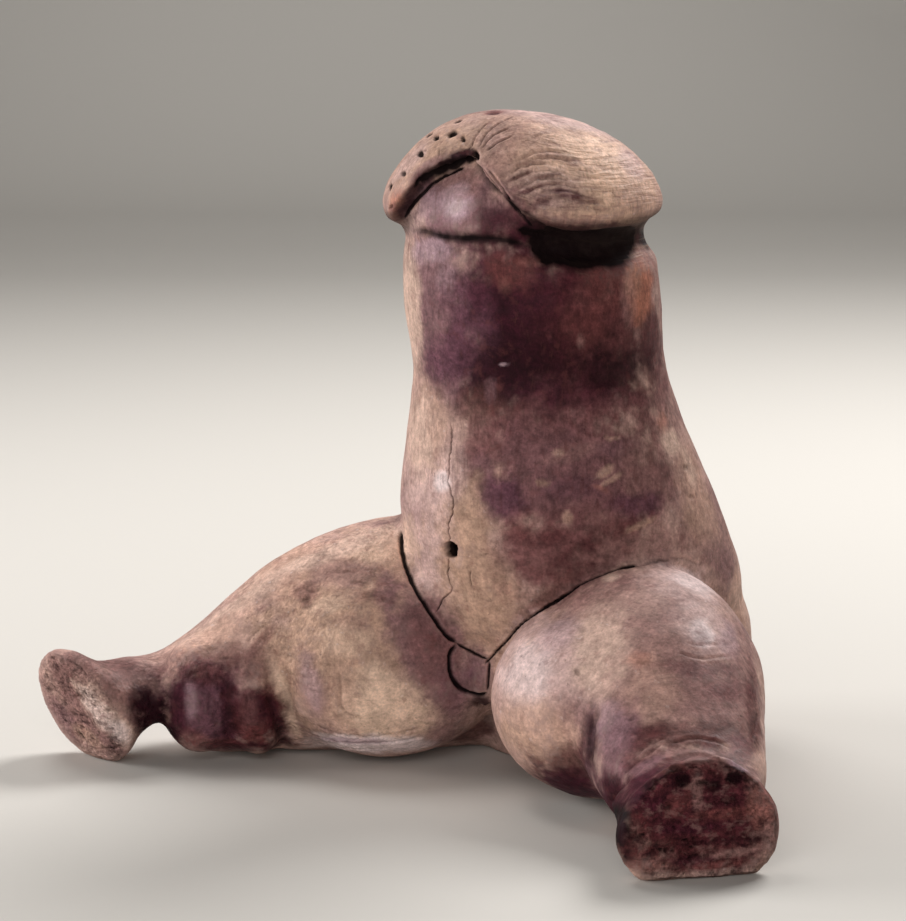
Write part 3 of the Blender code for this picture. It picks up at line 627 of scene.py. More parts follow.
# The same for the side that the photograph doesn't show, on the view from straight behind it
BACK_PATCHES = (
    Patch(453, 160, 110, 70, 0, "tan", 0.7),
    Patch(440, 330, 90, 120, 0, "brown", 0.5),
    Patch(440, 560, 120, 90, 0, "brick", 0.45),
    Patch(400, 330, 40, 110, 0, "mauve", 0.7),
    Patch(470, 300, 60, 60, 10, "plum", 0.75),
    Patch(450, 400, 50, 60, 0, "brown", 0.7),
    Patch(360, 560, 90, 50, 0, "sand", 0.7),
    Patch(520, 640, 80, 50, 0, "mauve", 0.5),
    Patch(470, 600, 40, 60, 10, "brown", 0.6),
    Patch(250, 640, 90, 50, -20, "pink", 0.6),
    Patch(640, 660, 90, 50, 20, "sand", 0.6),
    Patch(300, 700, 50, 30, 0, "plum", 0.5),
    Patch(700, 720, 60, 40, 0, "mauve", 0.6),
    Patch(430, 700, 90, 20, 0, "umber", 0.5),
)
PATCH_EDGE = (1.25, 0.5)  # where a patch begins and where it is full, in its half sizes
PATCH_REACH = 10 * MM  # how far in depth a patch colours the skin, and how much more for its larger half size
PATCH_REACH_MORE = 1.5
PATCH_WAVER = 0.55
LARGE_WAVER = 0.5
FINE_WAVER = 0.25
DRIFT = 0.25  # how far its middle drifts, in its half sizes

# Chance tints of the clay below the patches
TAN_TINT = 0.6
MAUVE_TINT = 0.8

# Earth with painted shade, and rubbing: how hollow or bulging the skin is in mm, found by averaging it, and
# what gathers there
HOLLOW_ROUNDS = 16
HOLLOW_FILLS = (0.25, 1.2)
HOLLOW_EARTH_AND_SHADE = 0.5
BULGE_RUBS = (0.15, 0.5)
CLEAN_ENOUGH = (0.03, 0.15)  # brightness between which clay begins to look rubbed
RIM_FROM = 0.206  # height above which faces that look down, under the cap's rim, get painted shade
RIM_BLEND = 5 * MM
UNDER_RIM_ROUNDS = 20
UNDER_RIM = (0.05, 0.5)  # how far a face looks down
UNDER_RIM_SHADE = 0.65

# Patterns in the clay: size of their lumps in mm, detail, stretch along x, y and z, and where in the noise
# they start. The pebble's strokes lie level and are drawn a little coarser than the real ones.
Pattern = namedtuple("Pattern", "size detail stretch start")
EVEN = (1, 1, 1)
LEVEL = (6, 6, 1)
UPRIGHT = (1, 1, 5)
PATTERNS = {
    "large": Pattern(9, 4, EVEN, 0),
    "middle": Pattern(3, 3, EVEN, 0),
    "small": Pattern(1.1, 2, EVEN, 0),
    "stains": Pattern(5, 4, EVEN, 3),
    "flecks": Pattern(2.4, 3, EVEN, 7),
    "crumbs": Pattern(1.6, 4, EVEN, 5),
    "layers": Pattern(3.6, 4, (1.7, 1.7, 1), 9),
    "crusts": Pattern(24, 4, EVEN, 4),
    "level strokes": Pattern(2.2, 3, LEVEL, 0),
    "upright strokes": Pattern(2.0, 4, UPRIGHT, 2),
}

FINE_DETAIL = 0.6  # strength of each finer part of a pattern beside the one before

# Mottling of smoke and clay: pattern, share of the brightness it gives and takes, and where
Mottle = namedtuple("Mottle", "pattern share where")
MOTTLES = (
    Mottle("large", 0.22, "body"),
    Mottle("middle", 0.17, "body"),
    Mottle("small", 0.17, "body"),
    Mottle("middle", 0.2, "smoky"),
    Mottle("upright strokes", 0.22, "column"),
    Mottle("flecks", 0.25, "crusted"),
    Mottle("crumbs", 0.5, "rough"),
)

MOTTLE_FROM = 0.3  # values of a pattern between which it changes the brightness
MOTTLE_TO = 0.7

# Colours washed over the fired ones: pattern, its values where a wash begins and is full, its share, colour
# and where
Wash = namedtuple("Wash", "pattern low high share colour where")
WASHES = (
    Wash("stains", 0.56, 0.72, 0.35, "rust", "body"),
    Wash("stains", 0.42, 0.28, 0.25, "straw", "clean"),
    Wash("level strokes", 0.45, 0.28, 0.22, "soot_and_shade", "legs"),
    Wash("upright strokes", 0.46, 0.28, 0.42, "soot_and_shade", "column"),
    Wash("upright strokes", 0.56, 0.74, 0.3, "rust", "column"),
    Wash("strokes of the hand", 0.45, 0.32, 0.4, "brown", "combed"),
    Wash("strokes of the hand", 0.54, 0.68, 0.25, "ochre", "combed"),
    Wash("layers", 0.46, 0.32, 0.8, "soot_and_shade", "rough"),
    Wash("layers", 0.52, 0.68, 0.55, "brick", "rough"),
    Wash("flecks", 0.64, 0.74, 0.35, "pale", "clean"),
    Wash("flecks", 0.34, 0.26, 0.4, "dirt", "body"),
    Wash("middle", 0.4, 0.65, 0.3, "pink", "rubbed"),
)

# Relief that is too fine for the mesh: pattern, height in mm, and where
Relief = namedtuple("Relief", "pattern height where")
RELIEF = (
    Relief("middle", 0.22, "body"),
    Relief("small", 0.12, "body"),
    Relief("level strokes", 0.08, "legs"),
    Relief("upright strokes", 0.08, "column"),
    Relief("strokes of the hand", 0.9, "combed"),
    Relief("flecks", 1.2, "crusted"),
    Relief("crumbs", 0.4, "crusted"),
    Relief("crumbs", 1.3, "rough"),
    Relief("layers", 1.6, "rough"),
)
COLUMN_FROM = 0.105  # height above which the pebble was drawn upwards instead of level
COLUMN_BLEND = 0.015
SMOKY_FROM = 0.4  # brightness of smoky and of clean clay
SMOKY_FULL = 0.08
CLEAN_FROM = 0.1
CLEAN_FULL = 0.4
CRUSTS_FROM = 0.44  # value of the pattern of crusts on the legs from which they show
CRUSTS_FULL = 0.56
CRUSTED_FROM = -0.055  # the crusts lie on the far leg, and end between these places across the figure
CRUSTED_TO = -0.03
DIRT_AND_SHADE_FROM = 0.1  # share of earth and painted shade from which it shows, from which it hides the clay, and how much of it
DIRT_AND_SHADE_FULL = 0.85
DIRT_AND_SHADE_MOST = 0.97
GLOSS = 0.62  # roughness to which the patterns, broken clay and earth add their shares
GLOSS_CHANGES = {"large": 0.3, "level strokes": -0.4}
MATT = 0.3
SHEEN = 0.09

# The paper of the floor: size of its tooth, how dark it is between, and its roughness
PAPER_TOOTH = 4 * MM
TOOTH_SHADE = 0.985
PAPER_ROUGHNESS = 0.9
SWEEP_STEPS = 16

# Soft boxes: turn from the camera to the right and rise in degrees, power in watts, side in metres, and
# whether they shine on the figure, 1, or away from it, -1
Light = namedtuple("Light", "name turn rise power size aim")
LIGHTS = (
    Light("light_right_behind", 140, 45, 24.0, 0.7, 1),
    Light("light_left", -95, 14, 13.0, 0.7, 1),
    Light("light_front", -12, 16, 9.0, 0.9, 1),
    Light("light_left_behind", -140, 60, 9.0, 0.7, 1),
    Light("light_backdrop", 180, 35, 16.0, 0.9, -1),
)
LIGHT_DISTANCE = 1.45
LIT_HEIGHT = 0.12


def linear(code):
    """A colour written as sRGB hex, as linear red, green, blue and alpha."""
    shares = [int(code[i : i + 2], 16) / 255 for i in (0, 2, 4)]
    return [s / 12.92 if s <= 0.04045 else ((s + 0.055) / 1.055) ** 2.4 for s in shares] + [1.0]


def colour(name, description, code):
    """A colour that the user can change."""
    return FloatVectorProperty(
        name=name, description=description, subtype="COLOR", default=linear(code)[:3], min=0, max=1
    )


class StageSettings(bpy.types.PropertyGroup):
    """The camera, the floor and the light."""

    turn: FloatProperty(
        name="Turn", description="Camera's turn round the figure", default=math.radians(36), unit="ROTATION"
    )
    rise: FloatProperty(
        name="Rise", description="Camera's angle above the floor", default=math.radians(10), unit="ROTATION"
    )
    distance: FloatProperty(name="Distance", description="Camera to the column", default=1.42, unit="LENGTH")
    floor_size: FloatProperty(name="Floor", description="Side of the floor", default=6.0, unit="LENGTH")
    sweep: FloatProperty(
        name="Sweep", description="Radius of the curve up to the backdrop", default=1.4, unit="LENGTH"
    )
    floor_colour: colour("Floor colour", "Paper of the floor and the backdrop", "c6c1ba")
    room_colour: colour("Room colour", "Faint light that comes from all round", "d9d5cf")
    room_light: FloatProperty(name="Room light", description="Strength of that faint light", default=0.1)


class SkinSettings(bpy.types.PropertyGroup):
    """The even skin that the lines are pressed into."""

    grain: FloatProperty(name="Grain", description="Edge of the skin's faces", default=2 * MM, unit="LENGTH")
    melt: IntProperty(name="Melt", description="Rounds that smooth the packed model's facets away", default=8)
    unevenness: FloatProperty(
        name="Unevenness", description="How far the modelled clay wavers", default=0.45 * MM, unit="LENGTH"
    )
    press: FloatProperty(name="Press", description="Depth of all lines and holes as a share", default=1.0)


class ClaySettings(bpy.types.PropertyGroup):
    """The colours of the fired clay."""

    ground: colour("Ground", "Clay where nothing else lies on it", "b49287")
    # cream also paints light along the left edge of the column and the top of the far thigh
    cream: colour("Cream", "Pale clean clay", "ccac9c")
    # pale also paints highlights on the head, the belly, the thighs and the knee
    pale: colour("Pale", "Rubbed places", "e8d4d2")
    pink: colour("Pink", "Pale pink clay", "c6a59e")
    tan: colour("Tan", "Yellowish clay", "be9886")
    sand: colour("Sand", "Yellow-grey clay", "ae8c78")
    ochre: colour("Ochre", "Bright peach clay", "e0b89e")
    # straw also paints light on the lower bulge of the far thigh
    straw: colour("Straw", "Bright yellowish clay", "e8c6ae")
    copper: colour("Copper", "Orange-brown stain", "ac6e5a")
    rust: colour("Rust", "Red-brown stain", "6a3a38")
    brick: colour("Brick", "Dull red clay", "8b6762")
    brown: colour("Brown", "Brown smoke", "6e4646")
    umber: colour("Umber", "Dark brown smoke", "5c3a36")
    mauve: colour("Mauve", "Thin smoke", "765458")
    # lilac also paints highlights on the right lobe and the smooth front
    lilac: colour("Lilac", "Thin smoke, rubbed", "b2949c")
    violet: colour("Violet", "Cold smoke", "5c3844")
    plum: colour("Plum", "Thick smoke", "3e1622")
    oxblood: colour("Oxblood", "Dark red smoke", "502628")
    # the thickest smoke, and also painted shade under the left lobe, between the thighs, under the ankle, in
    # the crease behind the calf and on the near foot's flank
    soot_and_shade: colour("Soot", "Thickest smoke", "260a12")
    clay_pink: colour("Clay pink", "Clean clay at a worn edge", "84564f")
    # the earth in the hollows, and also painted shadow under both lobes of the cap and on the near foot's
    # flank
    dirt: colour("Dirt", "Earth in the hollows", "0c0405")


def soft_curve(places, wander=0.0):
    """Points a step apart on a soft curve through places on the picture, which may wander like a crack."""
    knots = [np.array(place, float) for place in places]
    knots = [2 * knots[0] - knots[1], *knots, 2 * knots[-1] - knots[-2]]
    curve = []
    for before, start, end, after in zip(knots, knots[1:], knots[2:], knots[3:]):
        slope = end - before
        bend = 2 * before - 5 * start + 4 * end - after
        twist = 3 * start - before - 3 * end + after
        count = max(2, round(np.linalg.norm(end - start) / STEP))
        for share in np.linspace(0, 1, count, endpoint=False):
            curve.append(start + 0.5 * (slope * share + bend * share**2 + twist * share**3))
    curve.append(knots[-2])
    wanders = [noise.noise_vector(Vector((*point, 0)) / WANDER_LENGTH) for point in curve]
    return np.array(curve) + wander * np.array(wanders)[:, :2]


def direction(turn, rise):
    """The way out from the figure at a turn round it and a rise above the floor."""
    return Vector((math.sin(turn) * math.cos(rise), -math.cos(turn) * math.cos(rise), math.sin(rise)))


def view_from(stage, turn):
    """The camera's place for a turn round the figure, with the ways back to it, to its right and its top."""
    back = direction(turn, stage.rise)
    right = Vector((math.cos(turn), math.sin(turn), 0))
    up = back.cross(right)
    across = MIDDLE[0] - COLUMN_FOOT_SEEN[0]
    above = COLUMN_FOOT_SEEN[1] - MIDDLE[1]
    eye = COLUMN_FOOT + PIXEL * (across * right + above * up) + stage.distance * back
    return View(eye, back, right, up, stage.distance)


def hits(skin, view, places):
    """The points of the skin seen at places on the picture."""
    found = []
    for x, y in places:
        aside = PIXEL * ((x - MIDDLE[0]) * view.right + (MIDDLE[1] - y) * view.up)
        place = skin.ray_cast(view.eye, aside - view.distance * view.back)[0]
        if place is not None:
            found.append(place)
    return np.array(found)


def seen_at(places, view):
    """Where points of the skin lie on the picture."""
    ways = places - np.array(view.eye)
    scale = view.distance / PIXEL / -(ways @ np.array(view.back))
    across = ways @ np.array(view.right) * scale
    above = ways @ np.array(view.up) * scale
    return np.column_stack((MIDDLE[0] + across, MIDDLE[1] - above))


def nearest(places, points):
    """For each place, how far the nearest of the points is and which one it is."""
    tree = KDTree(len(points))
    for number, point in enumerate(points):
        tree.insert((*point, 0)[:3], number)
    tree.balance()
    found = [tree.find((*place, 0)[:3])[1:] for place in places]
    return np.array([distance for _, distance in found]), np.array([number for number, _ in found])


def around(places, points, reach):
    """Numbers of the places in the box round the points."""
    return np.flatnonzero(((places > points.min(0) - reach) & (places < points.max(0) + reach)).all(1))


def between(values, low, high):
    """0 below low, 1 above high, and soft in between; low may be the higher one."""
    share = np.clip((values - low) / (high - low), 0, 1)
    return share * share * (3 - 2 * share)


def clouds(places, name):
    """Smooth chance values from about -1 to 1 at the places, with the lumps of that name."""
    lumps = LUMPS[name]
    scaled = places / (lumps.size * MM) + lumps.start
    return np.array([noise.fractal(point, FALL, FINER, lumps.octaves) for point in scaled.tolist()])


def numbers(items, key, width):
    """One value of many vertices, edges or faces, as rows of numbers."""
    values = np.empty(len(items) * width)
    items.foreach_get(key, values)
    return values.reshape(-1, width)


def averaged(values, edges, rounds):
    """Values at the vertices after each has taken the mean of its neighbours a number of times."""
    ends = np.concatenate((edges, edges[:, ::-1]))
    count = np.bincount(ends[:, 0], minlength=len(values))[:, None]
    for _ in range(rounds):
        columns = [values[ends[:, 1], axis] for axis in range(values.shape[1])]
        sums = [np.bincount(ends[:, 0], column, len(values)) for column in columns]
        values = 0.5 * values + 0.5 * np.column_stack(sums) / count
    return values


def deselect(kind):
    """Let edit mode select vertices, edges or faces, with none of them selected."""
    bpy.ops.object.mode_set(mode="EDIT")
    bpy.ops.mesh.select_mode(type=kind)
    bpy.ops.mesh.select_all(action="DESELECT")
    bpy.ops.object.mode_set(mode="OBJECT")


def halve_faces(body, points, reach):
    """Halve the edges of the faces that lie near the points."""
    middles = numbers(body.data.polygons, "center", 3)
    chosen = np.zeros(len(middles), bool)
    close = around(middles, points, reach)
    chosen[close] = nearest(middles[close], points)[0] < reach
    deselect("FACE")
    body.data.polygons.foreach_set("select", chosen)
    bpy.ops.object.mode_set(mode="EDIT")
    bpy.ops.mesh.subdivide(number_cuts=1, smoothness=0, ngon=False)
    bpy.ops.object.mode_set(mode="OBJECT")


def apply_modifier(body, kind, **settings):
    """Add a modifier with its settings and apply it."""
    modifier = body.modifiers.new(kind.lower(), kind)
    for key, value in settings.items():
        setattr(modifier, key, value)
    bpy.ops.object.modifier_apply(modifier=modifier.name)


def weigh(body, name, weights):
    """Keep the weights in a vertex group that a modifier can read."""
    group = body.vertex_groups.new(name=name)
    for number in np.flatnonzero(weights > LEAST_WEIGHT).tolist():
        group.add([number], weights[number], "REPLACE")


def copy_of_model(context):
    """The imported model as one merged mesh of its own, selected and active."""
    model = bpy.data.objects[NODE]
    body = model.copy()
    body.data = model.data.copy()
    for key in list(body.keys()):
        del body[key]
    body.name = "clay_body"
    body.parent = None
    context.collection.objects.link(body)
    bpy.ops.object.select_all(action="DESELECT")
    body.select_set(True)
    context.view_layer.objects.active = body
    bpy.ops.object.mode_set(mode="EDIT")
    bpy.ops.mesh.select_all(action="SELECT")
    bpy.ops.mesh.remove_doubles(threshold=MERGE_DISTANCE)
    bpy.ops.object.mode_set(mode="OBJECT")
    return body


def skin_of(body):
    """The faces as a tree that rays can be sent at."""
    points = [vertex.co.copy() for vertex in body.data.vertices]
    return BVHTree.FromPolygons(points, [tuple(face.vertices) for face in body.data.polygons])


def shares_of(places, middle, view, mark):
    """Places from a mark's middle: along and across in its half sizes on the picture, and depth in metres."""
    offset = places - middle
    turn = -math.radians(mark.turn)
    right, up = np.array(view.right), np.array(view.up)
    along = offset @ (right * math.cos(turn) + up * math.sin(turn)) / (mark.wide * PIXEL)
    across = offset @ (up * math.cos(turn) - right * math.sin(turn)) / (mark.high * PIXEL)
    return along, across, offset @ np.array(view.back)


def comb(places, view):
    """Place across the strokes in strokes, place along them in runs, and how much the strokes show."""
    seen = seen_at(places, view)
    above = nearest(seen, soft_curve(COMB_TOP))[0]
    below = nearest(seen, soft_curve(COMB_BOTTOM))[0]
    across = COMB_LINES * below / (above + below + TINY)
    start = np.linalg.norm(seen - np.array(COMB_TOP[0]), axis=1)
    shows = between(places[:, 2], *COMB_HEIGHTS) * between(start, *COMB_BEGINS)
    shows *= between(np.minimum(above, below), *COMB_EDGE)
    shows *= between(seen[:, 0] - COMB_SLANT * (seen[:, 1] - COMB_TOP[0][1]), *COMB_SIDE)
    return across, start * PIXEL / COMB_RUN, shows


def keep_most(kept, chosen, values):
    """Take the values at the chosen vertices where they are larger than what is kept there."""
    kept[chosen] = np.maximum(kept[chosen], values)


def press_lines(marks, places, skin, view, press):
    """Press every line into the skin."""
    for name, run in LINES:
        kind = KINDS[name]
        half_width = kind.half_width * MM
        points = hits(skin, view, soft_curve(run, kind.wander))
        close = around(places, points, LINE_ROUND * half_width)
        away, which = nearest(places[close], points)
        from_end = np.minimum(which, len(points) - 1 - which)
        firmness = between(from_end, FADE_START, FADE * (1 + kind.half_width))
        firmness *= 1 + PRESSURE_CHANGE * clouds(places[close], "pressure")
        share = away / (half_width * (THINNEST + (1 - THINNEST) * firmness))
        groove = np.exp(-(share**2)) * firmness
        banks = kind.banks * np.exp(-(((share - BANK_PLACE) / BANK_WIDTH) ** 2)) * firmness
        marks.height[close] += kind.depth * MM * press * (banks - groove)
        keep_most(marks.pressed, close, np.minimum(1, kind.earth * groove))


def press_holes(marks, places, skin, view, press):
    """Press every hole and dent into the skin."""
    for hole in HOLES:
        middle = hits(skin, view, [(hole.x, hole.y)])[0]
        close = around(places, middle[None], HOLE_ROUND * max(hole.wide, hole.high) * PIXEL)
        along, across, deep = shares_of(places[close], middle, view, hole)
        share = np.sqrt(along**2 + across**2 + (deep / HOLE_REACH) ** 2)
        share += HOLE_WAVER * clouds(places[close], "edge of a hole")
        marks.height[close] -= hole.depth * MM * press * between(share, HOLE_EDGE, HOLE_FLOOR)
        earth = between(share, HOLE_EDGE, HOLE_EARTH_AND_SHADE) * min(1, HOLE_EARTH_AND_SHADE_SHARE * hole.depth)
        keep_most(marks.pressed, close, earth)


def wear_soles(marks, places, normals, skin, view):
    """Crumble the broken faces of the feet."""
    for sole in SOLES:
        middle = hits(skin, view, [(sole.x, sole.y)])[0]
        facing = between(normals @ normals[nearest([middle], places)[1][0]], *SOLE_FACING)
        radius = sole.radius * MM
        patch = facing * between(np.linalg.norm(places - middle, axis=1), radius, SOLE_EDGE * radius)
        close = np.flatnonzero(patch)
        layered = places[close] @ np.diag(SOLE_LAYERS)
        lumps = clouds(layered, "broken clay")
        pits = between(clouds(layered, "pits"), *PITS_SHOW) * between(lumps, *PITS_BELOW)
        wear = LUMPS_UP * lumps - PITS_DOWN * pits - WORN_AWAY
        marks.height[close] += patch[close] * sole.depth * MM * wear
        keep_most(marks.pressed, close, PITS_EARTH_AND_SHADE * patch[close] * pits)
        keep_most(marks.rough, close, patch[close])


def press_all(body, view, settings):
    """Press the lines, holes and wear into the skin, and return its vertices, edges, marks and strokes."""
    mesh = body.data
    skin = skin_of(body)
    places = numbers(mesh.vertices, "co", 3)
    edges = numbers(mesh.edges, "vertices", 2).astype(int)
    normals = averaged(numbers(mesh.vertices, "normal", 3), edges, NORMAL_ROUNDS)
    normals /= np.linalg.norm(normals, axis=1)[:, None]
    waves = clouds(places, "waves") + SMALL_WAVES * clouds(places, "small waves")
    marks = Marks(settings.unevenness * waves, np.zeros(len(places)), np.zeros(len(places)))
    press_lines(marks, places, skin, view, settings.press)
    press_holes(marks, places, skin, view, settings.press)
    wear_soles(marks, places, normals, skin, view)

    across, along, shows = comb(places, view)
    strokes = np.array([noise.noise(Vector((a, b, 0))) for a, b in zip(across, along)])
    height = marks.height + COMB_DEPTH * shows * strokes
    free = AT_THE_FLOOR + (1 - AT_THE_FLOOR) * between(places[:, 2], *FLOOR_HEIGHTS)
    moved = places + normals * (height * free)[:, None]
    moved = np.clip(moved, *(np.array(corner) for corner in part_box(NODE)))
    mesh.vertices.foreach_set("co", moved.ravel())
    mesh.update()
    return moved, edges, marks, np.column_stack((across, along, shows))


def store(mesh, name, kind, values):
    """Keep a value of each vertex for the material."""
    key = {"FLOAT_COLOR": "color", "FLOAT_VECTOR": "vector", "FLOAT": "value"}[kind]
    row = np.ascontiguousarray(values, np.float32).ravel()
    mesh.attributes.new(name, kind, "POINT").data.foreach_set(key, row)


def lay_patches(shades, places, patches, skin, view, clay):
    """Lay soft-edged patches of colour, placed on the picture, on the skin."""
    edge = LARGE_WAVER * clouds(places, "edge of a patch")
    edge += FINE_WAVER * clouds(places, "fine edge of a patch")
    drift_along = DRIFT * clouds(places, "drift along")
    drift_across = DRIFT * clouds(places, "drift across")
    for patch in patches:
        middle = hits(skin, view, [(patch.x, patch.y)])
        if not len(middle):
            continue
        along, across, deep = shares_of(places, middle[0], view, patch)
        along += drift_along
        across += drift_across
        reach = PATCH_REACH_MORE * max(patch.wide, patch.high) * PIXEL + PATCH_REACH
        share = np.sqrt(along**2 + across**2 + (deep / reach) ** 2) + PATCH_WAVER * edge
        weight = patch.strength * between(share, *PATCH_EDGE)
        shades += weight[:, None] * (np.array(getattr(clay, patch.colour)) - shades)


def paint(body, view, behind, clay, places, edges, marks, strokes):
    """Store the colours of the firing with painted highlights and shade, the soil and painted shade in
    hollows and under the cap's rim, the rubbed places and the strokes on the vertices.
    """
    mesh = body.data
    skin = skin_of(body)
    shades = np.tile(np.array(clay.ground), (len(places), 1))
    tints = clouds(places, "tints")
    shades += TAN_TINT * np.clip(tints, 0, 1)[:, None] * (np.array(clay.tan) - shades)
    shades += MAUVE_TINT * np.clip(-tints, 0, 1)[:, None] * (np.array(clay.mauve) - shades)
    lay_patches(shades, places, BACK_PATCHES, skin, behind, clay)
    lay_patches(shades, places, PATCHES, skin, view, clay)

    normals = numbers(mesh.vertices, "normal", 3)
    # painted shade with some earth in the hollows, and painted shade on faces that look down under the cap's
    # rim
    hollow = ((averaged(places, edges, HOLLOW_ROUNDS) - places) * normals).sum(1) / MM
    looks_down = -averaged(normals, edges, UNDER_RIM_ROUNDS)[:, 2]
    under_rim = between(looks_down, *UNDER_RIM) * between(places[:, 2], RIM_FROM, RIM_FROM + RIM_BLEND)
    earth = HOLLOW_EARTH_AND_SHADE * between(hollow, *HOLLOW_FILLS) + UNDER_RIM_SHADE * under_rim
    dirt = np.clip(marks.pressed + earth, 0, 1)
    clean = between(shades.mean(axis=1), *CLEAN_ENOUGH)
    store(mesh, "fired_colour", "FLOAT_COLOR", np.column_stack((shades, np.ones(len(places)))))
    store(mesh, "dirt", "FLOAT", dirt)
    store(mesh, "rubbed", "FLOAT", between(-hollow, *BULGE_RUBS) * (1 - dirt) * clean)
    store(mesh, "rough", "FLOAT", marks.rough)
    store(mesh, "strokes", "FLOAT_VECTOR", strokes)


def add(tree, kind, output, sockets=None, **settings):
    """Add a node and return one output of it. Sockets take a value or another node's output."""
    node = tree.nodes.new(kind)
    for key, value in settings.items():
        setattr(node, key, value)
    for key, value in (sockets or {}).items():
        if isinstance(value, bpy.types.NodeSocket):
            tree.links.new(value, node.inputs[key])
        else:
            node.inputs[key].default_value = value
    return node.outputs[output]


def clay_patterns(tree, place, strokes):
    """The value of every pattern in the clay, by its name."""
    sockets = {"Vector": strokes, "Scale": 1, "Detail": 3}
    patterns = {"strokes of the hand": add(tree, "ShaderNodeTexNoise", "Fac", sockets)}
    for name, pattern in PATTERNS.items():
        scale = [1 / (pattern.size * MM * share) for share in pattern.stretch]
        sockets = {"Vector": place, "Location": [pattern.start] * 3, "Scale": scale}
        lumps = add(tree, "ShaderNodeMapping", "Vector", sockets)
        sockets = {"Vector": lumps, "Scale": 1, "Detail": pattern.detail, "Roughness": FINE_DETAIL}
        patterns[name] = add(tree, "ShaderNodeTexNoise", "Fac", sockets)
    return patterns


def clay_masks(tree, place, tone, strokes, crusts):
    """Where a pattern shows, from 0 to 1, by the names of those places."""
    height = add(tree, "ShaderNodeSeparateXYZ", "Z", {"Vector": place})
    side = add(tree, "ShaderNodeSeparateXYZ", "X", {"Vector": place})
    light = add(tree, "ShaderNodeRGBToBW", "Val", {"Color": tone})
    low, high = COLUMN_FROM - COLUMN_BLEND, COLUMN_FROM + COLUMN_BLEND
    column = add(tree, "ShaderNodeMapRange", "Result", {"Value": height, "From Min": low, "From Max": high})
    legs = add(tree, "ShaderNodeMath", "Value", {0: 1.0, 1: column}, operation="SUBTRACT")
    sockets = {"Value": light, "From Min": SMOKY_FROM, "From Max": SMOKY_FULL}
    smoky = add(tree, "ShaderNodeMapRange", "Result", sockets)
    sockets = {"Value": light, "From Min": CLEAN_FROM, "From Max": CLEAN_FULL}
    clean = add(tree, "ShaderNodeMapRange", "Result", sockets)
    sockets = {"Value": crusts, "From Min": CRUSTS_FROM, "From Max": CRUSTS_FULL}
    crusts = add(tree, "ShaderNodeMapRange", "Result", sockets)
    sockets = {"Value": side, "From Min": CRUSTED_TO, "From Max": CRUSTED_FROM}
    far_leg = add(tree, "ShaderNodeMapRange", "Result", sockets)
    return {
        "body": 1.0,
        "column": column,
        "legs": legs,
        "smoky": smoky,
        "clean": clean,
        "crusted": add(tree, "ShaderNodeMath", "Value", {0: crusts, 1: far_leg}, operation="MULTIPLY"),
        "combed": add(tree, "ShaderNodeSeparateXYZ", "Z", {"Vector": strokes}),
        "rubbed": add(tree, "ShaderNodeAttribute", "Fac", attribute_name="rubbed"),
        "rough": add(tree, "ShaderNodeAttribute", "Fac", attribute_name="rough"),
    }


def clay_colour(tree, tone, dirt, patterns, masks, clay):
    """The fired colour with its mottling, its washes and the soil and painted shade in the hollows and
    grooves.
    """
    for mottle in MOTTLES:
        sockets = {"Value": patterns[mottle.pattern], "From Min": MOTTLE_FROM, "From Max": MOTTLE_TO}
        sockets |= {"To Min": mottle.share, "To Max": -mottle.share}
        change = add(tree, "ShaderNodeMapRange", "Result", sockets)
        sockets = {0: change, 1: masks[mottle.where], 2: 1.0}
        shade = add(tree, "ShaderNodeMath", "Value", sockets, operation="MULTIPLY_ADD")
        tone = add(tree, "ShaderNodeVectorMath", "Vector", {0: tone, "Scale": shade}, operation="SCALE")

    for wash in WASHES:
        sockets = {"Value": patterns[wash.pattern], "From Min": wash.low, "From Max": wash.high}
        amount = add(tree, "ShaderNodeMapRange", "Result", sockets | {"To Max": wash.share})
        share = add(tree, "ShaderNodeMath", "Value", {0: amount, 1: masks[wash.where]}, operation="MULTIPLY")
        sockets = {0: share, 6: tone, 7: (*getattr(clay, wash.colour), 1)}
        tone = add(tree, "ShaderNodeMix", 2, sockets, data_type="RGBA")

    sockets = {"Value": dirt, "From Min": DIRT_AND_SHADE_FROM, "From Max": DIRT_AND_SHADE_FULL, "To Max": DIRT_AND_SHADE_MOST}
    share = add(tree, "ShaderNodeMapRange", "Result", sockets)
    return add(tree, "ShaderNodeMix", 2, {0: share, 6: tone, 7: (*clay.dirt, 1)}, data_type="RGBA")


def clay_relief(tree, patterns, masks):
    """The direction of the surface with the relief that is too fine for the mesh."""
    height = 0.0
    for relief in RELIEF:
        sockets = {0: patterns[relief.pattern], 1: masks[relief.where]}
        lumps = add(tree, "ShaderNodeMath", "Value", sockets, operation="MULTIPLY")
        sockets = {0: lumps, 1: relief.height * MM, 2: height}
        height = add(tree, "ShaderNodeMath", "Value", sockets, operation="MULTIPLY_ADD")
    return add(tree, "ShaderNodeBump", "Normal", {"Height": height, "Strength": 1.0, "Distance": 1.0})


